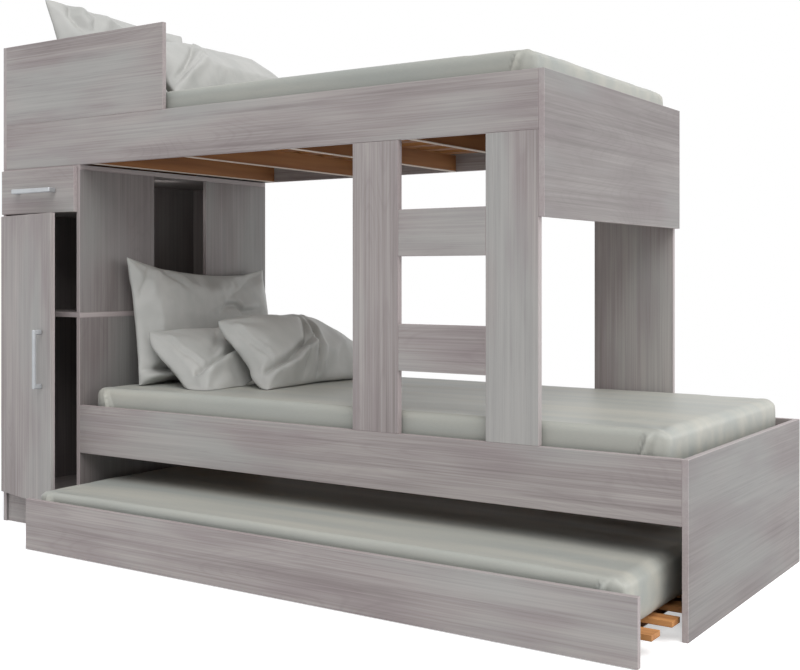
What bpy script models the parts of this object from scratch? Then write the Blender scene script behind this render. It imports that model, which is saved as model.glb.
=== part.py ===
"""Triple bunk bed in laminated board, modelled in metres with +Z up.

A raised bed stands on a wardrobe tower at its head and on a ladder and a post
at its foot. A second bed lies below it, set towards the foot, and a third bed
on castors rolls out from under the second. The door stands a little open and
the third bed is partly pulled out. Every board, handle, hinge, runner, castor,
mattress and pillow is an object of its own.

Lengths are first given in bed axes: X runs from the head end to the foot end,
Y from the front face to the rear, Z up from the floor. The root empty then
puts the origin under the middle of the whole object.
"""

import math

import bmesh
import bpy
from mathutils import Matrix, Vector
from mathutils.bvhtree import BVHTree

# Boards and clearances
BOARD = 0.015
LADDER_BOARD = 0.018
GAP = 0.0003
SOFT_GAP = 0.0003
PILLOW_GAP = 0.002
EDGE_BREAK = 0.0008
CUT_OVERRUN = 0.002
JOIN_OVERLAP = 0.001

# Whole object
BED_LENGTH = 2.354
BED_DEPTH = 0.92

# Wardrobe tower at the head end
TOWER_WIDTH = 0.3733
TOWER_HEIGHT = 1.1725
MID_LEVEL = 0.687
WARDROBE_DEPTH = 0.33
NICHE_WIDTH = 0.259
WARDROBE_FLOOR = 0.1
PLINTH_SETBACK = 0.008
FRONT_MARGIN = 0.0105
REVEAL = 0.006
DIVIDER_LIFT = 0.001

# Door on its two hinges
DOOR_BACK_GAP = 0.0005
DOOR_REST_ANGLE = math.radians(13.5)
HINGE_INSET = 0.085
HINGE_CUP_DIAMETER = 0.035
HINGE_CUP_DEPTH = 0.011
HINGE_CUP_SETBACK = 0.022
HINGE_PLATE_THICKNESS = 0.003
HINGE_PLATE_LENGTH = 0.045
HINGE_PLATE_HEIGHT = 0.05
HINGE_ARM_DEPTH = 0.012
HINGE_ARM_LENGTH = 0.08
HINGE_ARM_HEIGHT = 0.016
HINGE_ARM_SETBACK = 0.004

# Drawer on its two runners
DRAWER_FRONT_HEIGHT = 0.144
DRAWER_FRONT_GAP = 0.0005
DRAWER_BOARD = 0.012
DRAWER_BOTTOM = 0.006
DRAWER_LENGTH = 0.29
DRAWER_SIDE_HEIGHT = 0.1
DRAWER_SIDE_LIFT = 0.0265
RUNNER_SPACE = 0.0127
RUNNER_RUNNING_GAP = 0.0005
RUNNER_HEIGHT = 0.03
RUNNER_LENGTH = 0.3
RUNNER_SETBACK = 0.004
RUNNER_LIFT = 0.035

# Strap handles of the door and the drawer
HANDLE_LENGTH = 0.186
HANDLE_WIDTH = 0.015
HANDLE_BAR = 0.009
HANDLE_REACH = 0.029
HANDLE_EDGE = 0.0025
DOOR_HANDLE_BOTTOM = 0.463
DOOR_HANDLE_INSET = 0.062

# Raised bed
UPPER_FOOT_STEP = 0.354
UPPER_LENGTH = BED_LENGTH - UPPER_FOOT_STEP
UPPER_RAIL_HEIGHT = 0.147
GUARD_LENGTH = 0.722
GUARD_HEIGHT = 0.2625
UPPER_FOOT_DROP = 0.2105

# Ladder and rear post
STILE_WIDTH = 0.145
LADDER_SPAN = 0.2586
RUNG_HEIGHT = 0.1215
FIRST_GAP_SHARE = 0.3151
SECOND_GAP_SHARE = 0.3372
POST_WIDTH = 0.256

# Lower bed
LOWER_TOP = 0.409
LOWER_RAIL_HEIGHT = 0.151

# The rungs share out the height that they leave free between the beds
LADDER_FREE = TOWER_HEIGHT - LOWER_TOP - 2 * RUNG_HEIGHT
FIRST_RUNG = LOWER_TOP + FIRST_GAP_SHARE * LADDER_FREE
SECOND_RUNG = FIRST_RUNG + RUNG_HEIGHT + SECOND_GAP_SHARE * LADDER_FREE

# Slats and the bearers under them
SLAT_WIDTH = 0.05
SLAT_THICKNESS = 0.012
SLAT_COUNT = 7
SLAT_EDGE_ROOM = 0.0525
SLAT_PITCH = (BED_DEPTH - 2 * BOARD - 2 * SLAT_EDGE_ROOM - SLAT_WIDTH) / (SLAT_COUNT - 1)
BEARER_THICKNESS = 0.018
BEARER_HEIGHT = 0.055
BEARER_PITCH = 0.3965
LOWER_BEARER_LIFT = 0.0025

# Bed that rolls out
TRUNDLE_PULL = 0.238
TRUNDLE_START = 0.031
TRUNDLE_END_ROOM = 0.0227
TRUNDLE_REAR_ROOM = 0.091
TRUNDLE_LENGTH = BED_LENGTH - TOWER_WIDTH - TRUNDLE_START - TRUNDLE_END_ROOM
TRUNDLE_DEPTH = BED_DEPTH - TRUNDLE_REAR_ROOM
TRUNDLE_BOARD_HEIGHT = 0.15
TRUNDLE_CLEARANCE = 0.002
TRUNDLE_SLAT_COUNT = 6
TRUNDLE_BEARER_HEIGHT = 0.034
TRUNDLE_BEARER_CLEARANCE = 0.006
TRUNDLE_BEARER_COUNT = 4
TRUNDLE_BEARER_INSET = 0.1
TRUNDLE_SLAT_INSET = 0.003

# Castors of the bed that rolls out
CASTOR_INSET = 0.029
WHEEL_RADIUS = 0.0175
WHEEL_WIDTH = 0.014
WHEEL_SETBACK = 0.0265
WHEEL_ROUND = 0.002
AXLE_RADIUS = 0.003
AXLE_PLAY = 0.0004
CHEEK_PLAY = 0.0008
CHEEK_THICKNESS = 0.002
CHEEK_BOTTOM = 0.009
CASTOR_TOP = 0.045
CASTOR_PLATE_WIDTH = 0.036
CASTOR_PLATE = 0.003
CHEEK_NOSE = 0.006

# Mattresses
MATTRESS_FOOT_ROOM = 0.0427
MATTRESS_SIDE_ROOM = 0.0225
LOWER_MATTRESS_START = 0.043
MATTRESS_LENGTH = (
    BED_LENGTH - BOARD - MATTRESS_FOOT_ROOM - TOWER_WIDTH - LOWER_MATTRESS_START
)
MATTRESS_WIDTH = BED_DEPTH - 2 * MATTRESS_SIDE_ROOM
MATTRESS_HEIGHT = 0.136
CROWN_FLATNESS = 4
MATTRESS_CROWN = 0.01
MATTRESS_WAIST = 0.004
MATTRESS_ROUND = 0.04
UPPER_MATTRESS_START = 0.065
UPPER_MATTRESS_END_ROOM = 0.025
UPPER_MATTRESS_LENGTH = (
    UPPER_LENGTH - 2 * BOARD - UPPER_MATTRESS_START - UPPER_MATTRESS_END_ROOM
)
TRUNDLE_MATTRESS_END_ROOM = 0.044
TRUNDLE_MATTRESS_SIDE_ROOM = 0.0085
TRUNDLE_MATTRESS_HEIGHT = 0.124
TRUNDLE_MATTRESS_CROWN = 0.007
TRUNDLE_MATTRESS_START = 0.023
TRUNDLE_MATTRESS_LENGTH = TRUNDLE_LENGTH - TRUNDLE_MATTRESS_START - TRUNDLE_MATTRESS_END_ROOM
TRUNDLE_MATTRESS_WIDTH = TRUNDLE_DEPTH - 2 * BOARD - 2 * TRUNDLE_MATTRESS_SIDE_ROOM

# Pillows
PILLOW_SIDE_ROOM = 0.105
PILLOW_WIDTH = BED_DEPTH - 2 * PILLOW_SIDE_ROOM
PILLOW_BACK_DEPTH = 0.4
PILLOW_LEANING_DEPTH = 0.365
PILLOW_THICKNESS = 0.13
PILLOW_DRAW_IN = 0.032
PILLOW_BOW = 0.04
PILLOW_COLUMNS = 8
PILLOW_ROWS = 6
PILLOW_EDGE_POWER = 3
PILLOW_CROWN_POWER = 0.6
CORNER_CREASE_SHARE = 0.8
DROP_HEIGHT = 0.3

# Places of the pillows, measured from the head board of their bed and from the front face
UPPER_BACK_PILLOW_SHIFT = -0.02
UPPER_BACK_PILLOW_ACROSS = BED_DEPTH / 2 + UPPER_BACK_PILLOW_SHIFT
UPPER_FRONT_PILLOW_OUT = 0.35
UPPER_FRONT_PILLOW_SHIFT = -0.055
UPPER_FRONT_PILLOW_ACROSS = BED_DEPTH / 2 + UPPER_FRONT_PILLOW_SHIFT
LOWER_BACK_PILLOW_SHIFT = 0.03
LOWER_BACK_PILLOW_ACROSS = BED_DEPTH / 2 + LOWER_BACK_PILLOW_SHIFT
LOWER_MIDDLE_PILLOW_OUT = 0.175
LOWER_MIDDLE_PILLOW_SHIFT = -0.03
LOWER_MIDDLE_PILLOW_ACROSS = BED_DEPTH / 2 + LOWER_MIDDLE_PILLOW_SHIFT
LOWER_FRONT_PILLOW_OUT = 0.275
LOWER_FRONT_PILLOW_SHIFT = 0.07
LOWER_FRONT_PILLOW_ACROSS = BED_DEPTH / 2 + LOWER_FRONT_PILLOW_SHIFT
# How far each pillow leans back, turns about the vertical and rolls in its own plane, in degrees.
UPPER_BACK_PILLOW_ANGLES = {"lean": 68.0, "turn": 0.0, "roll": -4.0}
UPPER_FRONT_PILLOW_ANGLES = {"lean": 35.0, "turn": -1.0, "roll": 0.0}
LOWER_BACK_PILLOW_ANGLES = {"lean": 79.0, "turn": 0.0, "roll": -4.5}
LOWER_MIDDLE_PILLOW_ANGLES = {"lean": 27.0, "turn": -10.0, "roll": 0.0}
LOWER_FRONT_PILLOW_ANGLES = {"lean": 34.0, "turn": -5.0, "roll": 0.0}
PILLOW_SINK = 0.01
PRESS_BLEND = 0.001
MIDDLE_PILLOW_THICKNESS = 0.075
MIDDLE_PILLOW_BOW = 0.006

# Heights that follow from the sizes above
DOOR_BOTTOM = WARDROBE_FLOOR
DRAWER_FRONT_TOP = TOWER_HEIGHT - REVEAL
DRAWER_FRONT_BOTTOM = DRAWER_FRONT_TOP - DRAWER_FRONT_HEIGHT
DOOR_TOP = DRAWER_FRONT_BOTTOM - REVEAL
DIVIDER_BOTTOM = DRAWER_FRONT_BOTTOM + DIVIDER_LIFT
DRAWER_SIDE_BOTTOM = DRAWER_FRONT_BOTTOM + DRAWER_SIDE_LIFT
UPPER_RAIL_TOP = TOWER_HEIGHT + UPPER_RAIL_HEIGHT
LOWER_RAIL_BOTTOM = LOWER_TOP - LOWER_RAIL_HEIGHT
TOWER_INNER = TOWER_WIDTH - BOARD
UPPER_INNER = UPPER_LENGTH - BOARD
DOOR_WIDTH = TOWER_WIDTH - 2 * FRONT_MARGIN

ROUND_SIDES = 24
PIN_SIDES = 12
UNIT = 1.0

FINISHES = {
    "laminate": {"colour": (0.34, 0.32, 0.315), "roughness": 0.5, "metallic": 0.0},
    "slat_wood": {"colour": (0.42, 0.21, 0.085), "roughness": 0.6, "metallic": 0.0},
    "aluminium": {"colour": (0.6, 0.61, 0.62), "roughness": 0.35, "metallic": 1.0},
    "hinge_steel": {"colour": (0.5, 0.5, 0.5), "roughness": 0.3, "metallic": 1.0},
    "castor_plastic": {"colour": (0.62, 0.61, 0.59), "roughness": 0.45, "metallic": 0.0},
    "satin_fabric": {"colour": (0.5, 0.52, 0.47), "roughness": 0.6, "metallic": 0.0},
}


def clear_scene():
    """Remove every object that the file starts with."""
    for thing in list(bpy.data.objects):
        bpy.data.objects.remove(thing, do_unlink=True)


def make_collections():
    """Make one collection for the bed and one for the cutters."""
    collections = {}
    for name in ("triple_bunk_bed", "cutters"):
        collections[name] = bpy.data.collections.new(name)
        bpy.context.scene.collection.children.link(collections[name])
    return collections


def finish(name, slot):
    """Make the material of one piece from its finish."""
    look = FINISHES[slot]
    material = bpy.data.materials.new(name)
    material.use_nodes = True
    shader = material.node_tree.nodes["Principled BSDF"]
    shader.inputs["Base Color"].default_value = (*look["colour"], 1.0)
    shader.inputs["Roughness"].default_value = look["roughness"]
    shader.inputs["Metallic"].default_value = look["metallic"]
    material.diffuse_color = (*look["colour"], 1.0)
    return material


class Workshop:
    """Holds the collections and the empties that carry the pieces."""

    def __init__(self):
        self.collections = make_collections()
        centre_x = BED_LENGTH / 2
        centre_y = (BED_DEPTH - TRUNDLE_PULL) / 2
        self.root = self.empty("bed", None, Vector((-centre_x, -centre_y, 0)))

    def empty(self, name, parent, location):
        """Make an empty that pieces hang on, placed from its parent."""
        holder = bpy.data.objects.new(name, None)
        holder.parent = parent
        holder.location = location
        self.collections["triple_bunk_bed"].objects.link(holder)
        return holder

    def place(self, name, shape, centre, holder, slot):
        """Turn a bmesh into a named object at a place measured from its holder."""
        mesh = bpy.data.meshes.new(name)
        shape.to_mesh(mesh)
        shape.free()
        piece = bpy.data.objects.new(name, mesh)
        piece.parent = holder
        piece.location = centre
        mesh.materials.append(finish(name, slot))
        self.collections["triple_bunk_bed"].objects.link(piece)
        return piece

    def cutter(self, name, shape, centre, holder):
        """Turn a bmesh into a hidden object for a Boolean."""
        mesh = bpy.data.meshes.new(name)
        shape.to_mesh(mesh)
        shape.free()
        tool = bpy.data.objects.new(name, mesh)
        tool.parent = holder
        tool.location = centre
        tool.hide_render = True
        tool.display_type = "WIRE"
        self.collections["cutters"].objects.link(tool)
        return tool


def inside(low, high):
    """Give the span of a piece that fits between two faces with a gap at each."""
    return (low + GAP, high - GAP)


def box_shape(size):
    """Make a box of three sizes about its own centre."""
    shape = bmesh.new()
    bmesh.ops.create_cube(shape, size=UNIT)
    bmesh.ops.scale(shape, vec=Vector(size), verts=shape.verts)
    return shape


def cylinder_shape(radius, length, sides, axis):
    """Make a cylinder about its own centre, along X, Y or Z."""
    shape = bmesh.new()
    bmesh.ops.create_cone(
        shape, cap_ends=True, segments=sides, radius1=radius, radius2=radius, depth=length
    )
    turns = {"X": Matrix.Rotation(math.pi / 2, 3, "Y"), "Y": Matrix.Rotation(math.pi / 2, 3, "X")}
    if axis in turns:
        bmesh.ops.rotate(shape, matrix=turns[axis], verts=shape.verts)
    return shape


def span_size(*spans):
    """Give the sizes of a box from its spans."""
    return [high - low for low, high in spans]


def span_centre(*spans):
    """Give the centre of a box from its spans."""
    return Vector([(high + low) / 2 for low, high in spans])


def break_edges(piece, width=EDGE_BREAK):
    """Take the sharp corner off every edge."""
    bevel = piece.modifiers.new("broken_edges", "BEVEL")
    bevel.width = width
    bevel.segments = 1
    bevel.limit_method = "ANGLE"


def combine(piece, tool, operation):
    """Cut a tool out of a piece, or join it on."""
    boolean = piece.modifiers.new(operation.lower(), "BOOLEAN")
    boolean.operation = operation
    boolean.object = tool


def board(shop, name, x, y, z, holder=None, slot="laminate"):
    """Make a board from its span on each axis, measured from its holder."""
    piece = shop.place(name, box_shape(span_size(x, y, z)), span_centre(x, y, z), holder or shop.root, slot)
    break_edges(piece)
    return piece


def build_tower(shop):
    """Build the carcass of the wardrobe tower: sides, shelves, backs, top and plinth."""
    between_sides = inside(BOARD, TOWER_INNER)
    right_side = (TOWER_INNER, TOWER_WIDTH)
    wardrobe_inside = (0, WARDROBE_DEPTH - BOARD - GAP)
    back = (WARDROBE_DEPTH - BOARD, WARDROBE_DEPTH)
    rear = (BED_DEPTH - BOARD, BED_DEPTH)
    above_mid = inside(MID_LEVEL + BOARD, TOWER_HEIGHT - BOARD)
    under_top = TOWER_HEIGHT - BOARD - GAP
    niche_rear = (WARDROBE_DEPTH + NICHE_WIDTH, BED_DEPTH)
    board(shop, "tower_left_side", (0, BOARD), (0, BED_DEPTH), (0, under_top))
    board(shop, "lower_head_panel", right_side, (0, BED_DEPTH), (0, MID_LEVEL - GAP))
    board(
        shop,
        "tower_mid_board",
        (BOARD + GAP, TOWER_WIDTH),
        (0, BED_DEPTH - BOARD - GAP),
        (MID_LEVEL, MID_LEVEL + BOARD),
    )
    board(shop, "tower_upper_front_side", right_side, (0, WARDROBE_DEPTH), above_mid)
    board(shop, "tower_upper_rear_side", right_side, niche_rear, above_mid)
    top = (TOWER_HEIGHT - BOARD, TOWER_HEIGHT)
    board(shop, "tower_top_board", (0, TOWER_WIDTH), (0, BED_DEPTH), top)
    board(shop, "tower_rear_panel", between_sides, rear, (0, under_top))
    above_floor = inside(WARDROBE_FLOOR + BOARD, MID_LEVEL)
    board(shop, "wardrobe_lower_back", between_sides, back, above_floor)
    board(shop, "wardrobe_upper_back", between_sides, back, above_mid)
    floor = (WARDROBE_FLOOR, WARDROBE_FLOOR + BOARD)
    board(shop, "wardrobe_bottom", between_sides, (0, WARDROBE_DEPTH), floor)
    plinth = (PLINTH_SETBACK, PLINTH_SETBACK + BOARD)
    board(shop, "tower_plinth", between_sides, plinth, (0, WARDROBE_FLOOR - GAP))
    divider = (DIVIDER_BOTTOM, DIVIDER_BOTTOM + BOARD)
    board(shop, "drawer_divider", between_sides, wardrobe_inside, divider)


def strap_handle(shop, name, centre, along, holder):
    """Bend a strap handle: a bar on two legs, standing out towards the front.

    The centre lies on the face that carries the handle, and along is X or Z.
    """
    half = HANDLE_LENGTH / 2
    seat_y = -GAP
    bar_y = seat_y - HANDLE_REACH
    size = {"X": (HANDLE_LENGTH, HANDLE_REACH, HANDLE_WIDTH), "Z": (HANDLE_WIDTH, HANDLE_REACH, HANDLE_LENGTH)}
    middle = centre + Vector((0, (seat_y + bar_y) / 2, 0))
    piece = shop.place(name, box_shape(size[along]), middle, holder, "aluminium")
    hollow_length = 2 * (half - HANDLE_WIDTH)
    hollow_depth = HANDLE_REACH - HANDLE_BAR
    wide = HANDLE_WIDTH + 2 * CUT_OVERRUN
    deep = hollow_depth + CUT_OVERRUN
    hollow_size = {"X": (hollow_length, deep, wide), "Z": (wide, deep, hollow_length)}
    hollow_middle = centre + Vector((0, seat_y - hollow_depth + deep / 2, 0))
    tool = shop.cutter(name + "_hollow", box_shape(hollow_size[along]), hollow_middle, holder)
    combine(piece, tool, "DIFFERENCE")
    break_edges(piece, HANDLE_EDGE)
    return piece


def build_door(shop):
    """Build the door on its hinges. It stands open by its rest angle."""
    hinge = shop.empty("door_hinge", shop.root, Vector((FRONT_MARGIN, -DOOR_BACK_GAP, 0)))
    hinge.rotation_euler = (0, 0, -DOOR_REST_ANGLE)
    door = board(shop, "door", (0, DOOR_WIDTH), (-BOARD, 0), (DOOR_BOTTOM, DOOR_TOP), hinge)
    handle_centre = Vector(
        (DOOR_WIDTH - DOOR_HANDLE_INSET, -BOARD, DOOR_HANDLE_BOTTOM + HANDLE_LENGTH / 2)
    )
    strap_handle(shop, "door_handle", handle_centre, "Z", hinge)
    radius = HINGE_CUP_DIAMETER / 2
    heights = {"lower": DOOR_BOTTOM + HINGE_INSET, "upper": DOOR_TOP - HINGE_INSET}
    for level, height in heights.items():
        cup_centre = Vector((HINGE_CUP_SETBACK, -HINGE_CUP_DEPTH / 2, height))
        cup = cylinder_shape(radius - GAP, HINGE_CUP_DEPTH, ROUND_SIDES, "Y")
        shop.place(level + "_hinge_cup", cup, cup_centre, hinge, "hinge_steel")
        pocket_depth = HINGE_CUP_DEPTH + GAP + CUT_OVERRUN
        pocket = cylinder_shape(radius, pocket_depth, ROUND_SIDES, "Y")
        pocket_centre = Vector((HINGE_CUP_SETBACK, CUT_OVERRUN - pocket_depth / 2, height))
        tool = shop.cutter(level + "_hinge_pocket", pocket, pocket_centre, hinge)
        combine(door, tool, "DIFFERENCE")
        build_hinge_arm(shop, level, height)


def build_hinge_arm(shop, level, height):
    """Build the arm that carries a hinge on the tower's left side."""
    seat_x = BOARD + GAP
    plate_start = HINGE_ARM_SETBACK + HINGE_ARM_LENGTH - HINGE_PLATE_LENGTH
    plate_size = (HINGE_PLATE_THICKNESS, HINGE_PLATE_LENGTH, HINGE_PLATE_HEIGHT)
    plate_centre = Vector(
        (seat_x + HINGE_PLATE_THICKNESS / 2, plate_start + HINGE_PLATE_LENGTH / 2, height)
    )
    arm = shop.place(
        level + "_hinge_arm", box_shape(plate_size), plate_centre, shop.root, "hinge_steel"
    )
    depth = HINGE_ARM_DEPTH - JOIN_OVERLAP
    length = HINGE_ARM_LENGTH - JOIN_OVERLAP
    centre = Vector((seat_x + JOIN_OVERLAP + depth / 2, HINGE_ARM_SETBACK + length / 2, height))
    body = box_shape((depth, length, HINGE_ARM_HEIGHT))
    tool = shop.cutter(level + "_hinge_arm_body", body, centre, shop.root)
    combine(arm, tool, "UNION")


def build_drawer(shop):
    """Build the drawer, closed, and the two runners that carry it."""
    slide = shop.empty("drawer_slide", shop.root, Vector((0, 0, 0)))
    front_back = -DRAWER_FRONT_GAP
    front_z = (DRAWER_FRONT_BOTTOM, DRAWER_FRONT_TOP)
    front_y = (front_back - BOARD, front_back)
    board(shop, "drawer_front", (FRONT_MARGIN, TOWER_WIDTH - FRONT_MARGIN), front_y, front_z, slide)
    left = BOARD + RUNNER_SPACE
    right = TOWER_INNER - RUNNER_SPACE
    side_y = (front_back + GAP, DRAWER_LENGTH)
    side_z = (DRAWER_SIDE_BOTTOM, DRAWER_SIDE_BOTTOM + DRAWER_SIDE_HEIGHT)
    board(shop, "drawer_left_side", (left, left + DRAWER_BOARD), side_y, side_z, slide)
    board(shop, "drawer_right_side", (right - DRAWER_BOARD, right), side_y, side_z, slide)
    between = inside(left + DRAWER_BOARD, right - DRAWER_BOARD)
    board(shop, "drawer_back", between, (DRAWER_LENGTH - DRAWER_BOARD, DRAWER_LENGTH), side_z, slide)
    bottom_y = (front_back + GAP, DRAWER_LENGTH - DRAWER_BOARD - GAP)
    bottom_z = (DRAWER_SIDE_BOTTOM, DRAWER_SIDE_BOTTOM + DRAWER_BOTTOM)
    board(shop, "drawer_bottom", between, bottom_y, bottom_z, slide)
    handle_centre = Vector((TOWER_WIDTH / 2, front_y[0], (front_z[0] + front_z[1]) / 2))
    strap_handle(shop, "drawer_handle", handle_centre, "X", slide)
    runner_y = (RUNNER_SETBACK, RUNNER_SETBACK + RUNNER_LENGTH)
    runner_bottom = DRAWER_SIDE_BOTTOM + RUNNER_LIFT
    runner_z = (runner_bottom, runner_bottom + RUNNER_HEIGHT)
    left_runner = (BOARD + GAP, left - RUNNER_RUNNING_GAP)
    right_runner = (right + RUNNER_RUNNING_GAP, TOWER_INNER - GAP)
    board(shop, "drawer_left_runner", left_runner, runner_y, runner_z, slot="hinge_steel")
    board(shop, "drawer_right_runner", right_runner, runner_y, runner_z, slot="hinge_steel")


def build_upper_frame(shop):
    """Build the raised bed's head board, guard, rails and foot board."""
    base = TOWER_HEIGHT + GAP
    head_x = (0, BOARD)
    front = (0, BOARD)
    rear = (BED_DEPTH - BOARD, BED_DEPTH)
    guard_top = UPPER_RAIL_TOP + GUARD_HEIGHT
    between_ends = inside(BOARD, UPPER_INNER)
    rail_z = (base, UPPER_RAIL_TOP)
    board(shop, "upper_head_panel", head_x, (0, BED_DEPTH), (base, guard_top))
    guard_x = (BOARD + GAP, BOARD + GUARD_LENGTH)
    board(shop, "guard_board", guard_x, front, (UPPER_RAIL_TOP + GAP, guard_top))
    board(shop, "upper_front_rail", between_ends, front, rail_z)
    board(shop, "upper_rear_rail", between_ends, rear, rail_z)
    foot_z = (TOWER_HEIGHT - UPPER_FOOT_DROP, UPPER_RAIL_TOP)
    board(shop, "upper_foot_panel", (UPPER_INNER, UPPER_LENGTH), (0, BED_DEPTH), foot_z)


def build_ladder(shop):
    """Build the two ladder stiles, the two rungs and the rear post."""
    standing = inside(LOWER_TOP, TOWER_HEIGHT)
    face = (0, LADDER_BOARD)
    right = UPPER_INNER - GAP
    right_stile = (right - STILE_WIDTH, right)
    left_end = right_stile[0] - LADDER_SPAN
    board(shop, "ladder_right_stile", right_stile, face, standing)
    board(shop, "ladder_left_stile", (left_end - STILE_WIDTH, left_end), face, standing)
    for name, bottom in (("ladder_lower_rung", FIRST_RUNG), ("ladder_upper_rung", SECOND_RUNG)):
        rung_z = (bottom, bottom + RUNG_HEIGHT)
        board(shop, name, inside(left_end, right_stile[0]), face, rung_z)
    rear = (BED_DEPTH - BOARD, BED_DEPTH)
    board(shop, "rear_post", (right - POST_WIDTH, right), rear, standing)


def build_lower_frame(shop):
    """Build the lower bed's rails and the foot board that stands on the floor."""
    between_ends = inside(TOWER_WIDTH, BED_LENGTH - BOARD)
    rail_z = (LOWER_RAIL_BOTTOM, LOWER_TOP)
    board(shop, "lower_front_rail", between_ends, (0, BOARD), rail_z)
    board(shop, "lower_rear_rail", between_ends, (BED_DEPTH - BOARD, BED_DEPTH), rail_z)
    board(shop, "lower_foot_panel", (BED_LENGTH - BOARD, BED_LENGTH), (0, BED_DEPTH), (0, LOWER_TOP))


def slat_rows(y, count):
    """Give the centre of each slat, spread evenly about the middle of the bed."""
    middle = (y[0] + y[1]) / 2
    first = middle - SLAT_PITCH * (count - 1) / 2
    return [first + SLAT_PITCH * row for row in range(count)]


def slat_base(shop, name, slat_x, y, bearers, bearer_z, count, holder):
    """Build a slat base: slats along the bed, joined on bearers across it."""
    shape = box_shape(span_size(bearers[0], y, bearer_z))
    base = shop.place(name, shape, span_centre(bearers[0], y, bearer_z), holder, "slat_wood")
    for number, x in enumerate(bearers[1:]):
        bearer = box_shape(span_size(x, y, bearer_z))
        tool = shop.cutter(f"{name}_bearer_{number}", bearer, span_centre(x, y, bearer_z), holder)
        combine_in_row(shop, base, tool)
    slat_z = (bearer_z[1] - JOIN_OVERLAP, bearer_z[1] + SLAT_THICKNESS)
    for number, row in enumerate(slat_rows(y, count)):
        slat_y = (row - SLAT_WIDTH / 2, row + SLAT_WIDTH / 2)
        slat = box_shape(span_size(slat_x, slat_y, slat_z))
        tool = shop.cutter(f"{name}_slat_{number}", slat, span_centre(slat_x, slat_y, slat_z), holder)
        combine_in_row(shop, base, tool)
    union = base.modifiers.new("joined", "BOOLEAN")
    union.operation = "UNION"
    union.operand_type = "COLLECTION"
    union.collection = shop.collections[name]
    return base


def combine_in_row(shop, base, tool):
    """Put a tool in the collection that one Boolean joins to its base."""
    if base.name not in shop.collections:
        rows = bpy.data.collections.new(base.name + "_parts")
        shop.collections["cutters"].children.link(rows)
        shop.collections[base.name] = rows
    shop.collections["cutters"].objects.unlink(tool)
    shop.collections[base.name].objects.link(tool)


def bearer_spans(start, end):
    """Give the bearers of a fixed bed: one at the head, then one a pitch, and one at the foot."""
    first = start + GAP
    last = end - GAP - BEARER_THICKNESS
    places = [first]
    while places[-1] + BEARER_PITCH < last - BEARER_PITCH / 2:
        places.append(places[-1] + BEARER_PITCH)
    places.append(last)
    return [(place, place + BEARER_THICKNESS) for place in places]


def build_slat_bases(shop):
    """Build the slat bases of the two fixed beds."""
    y = inside(BOARD, BED_DEPTH - BOARD)
    upper_x = (BOARD, UPPER_INNER)
    upper_z = (TOWER_HEIGHT + GAP, TOWER_HEIGHT + BEARER_HEIGHT)
    upper_bearers = bearer_spans(*upper_x)
    slat_base(shop, "upper_slat_base", inside(*upper_x), y, upper_bearers, upper_z, SLAT_COUNT, shop.root)
    lower_x = (TOWER_WIDTH, BED_LENGTH - BOARD)
    lower_bottom = LOWER_RAIL_BOTTOM + LOWER_BEARER_LIFT
    lower_z = (lower_bottom, lower_bottom + BEARER_HEIGHT)
    lower_bearers = bearer_spans(*lower_x)
    slat_base(shop, "lower_slat_base", inside(*lower_x), y, lower_bearers, lower_z, SLAT_COUNT, shop.root)
    return {"upper": upper_z[1] + SLAT_THICKNESS, "lower": lower_z[1] + SLAT_THICKNESS}


def build_trundle(shop):
    """Build the bed that rolls out, on four castors, partly pulled out."""
    slide = shop.empty("trundle_slide", shop.root, Vector((0, -TRUNDLE_PULL, 0)))
    start = TOWER_WIDTH + TRUNDLE_START
    x = (start, start + TRUNDLE_LENGTH)
    z = (TRUNDLE_CLEARANCE, TRUNDLE_CLEARANCE + TRUNDLE_BOARD_HEIGHT)
    board(shop, "trundle_front_board", x, (0, BOARD), z, slide)
    board(shop, "trundle_rear_board", x, (TRUNDLE_DEPTH - BOARD, TRUNDLE_DEPTH), z, slide)
    y = inside(BOARD, TRUNDLE_DEPTH - BOARD)
    bearer_top = TRUNDLE_BEARER_CLEARANCE + TRUNDLE_BEARER_HEIGHT
    bearer_z = (TRUNDLE_BEARER_CLEARANCE, bearer_top)
    first = x[0] + TRUNDLE_BEARER_INSET
    step = (x[1] - TRUNDLE_BEARER_INSET - BEARER_THICKNESS - first) / (TRUNDLE_BEARER_COUNT - 1)
    places = [first + step * number for number in range(TRUNDLE_BEARER_COUNT)]
    bearers = [(place, place + BEARER_THICKNESS) for place in places]
    slat_x = (x[0] + TRUNDLE_SLAT_INSET, x[1] - TRUNDLE_SLAT_INSET)
    slat_base(shop, "trundle_slat_base", slat_x, y, bearers, bearer_z, TRUNDLE_SLAT_COUNT, slide)
    for side, place in (("left", x[0] + CASTOR_INSET), ("right", x[1] - CASTOR_INSET)):
        build_castor(shop, "front_" + side, Vector((place, BOARD, 0)), 1, slide)
        build_castor(shop, "rear_" + side, Vector((place, TRUNDLE_DEPTH - BOARD, 0)), -1, slide)
    return slide, bearer_top + SLAT_THICKNESS


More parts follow.
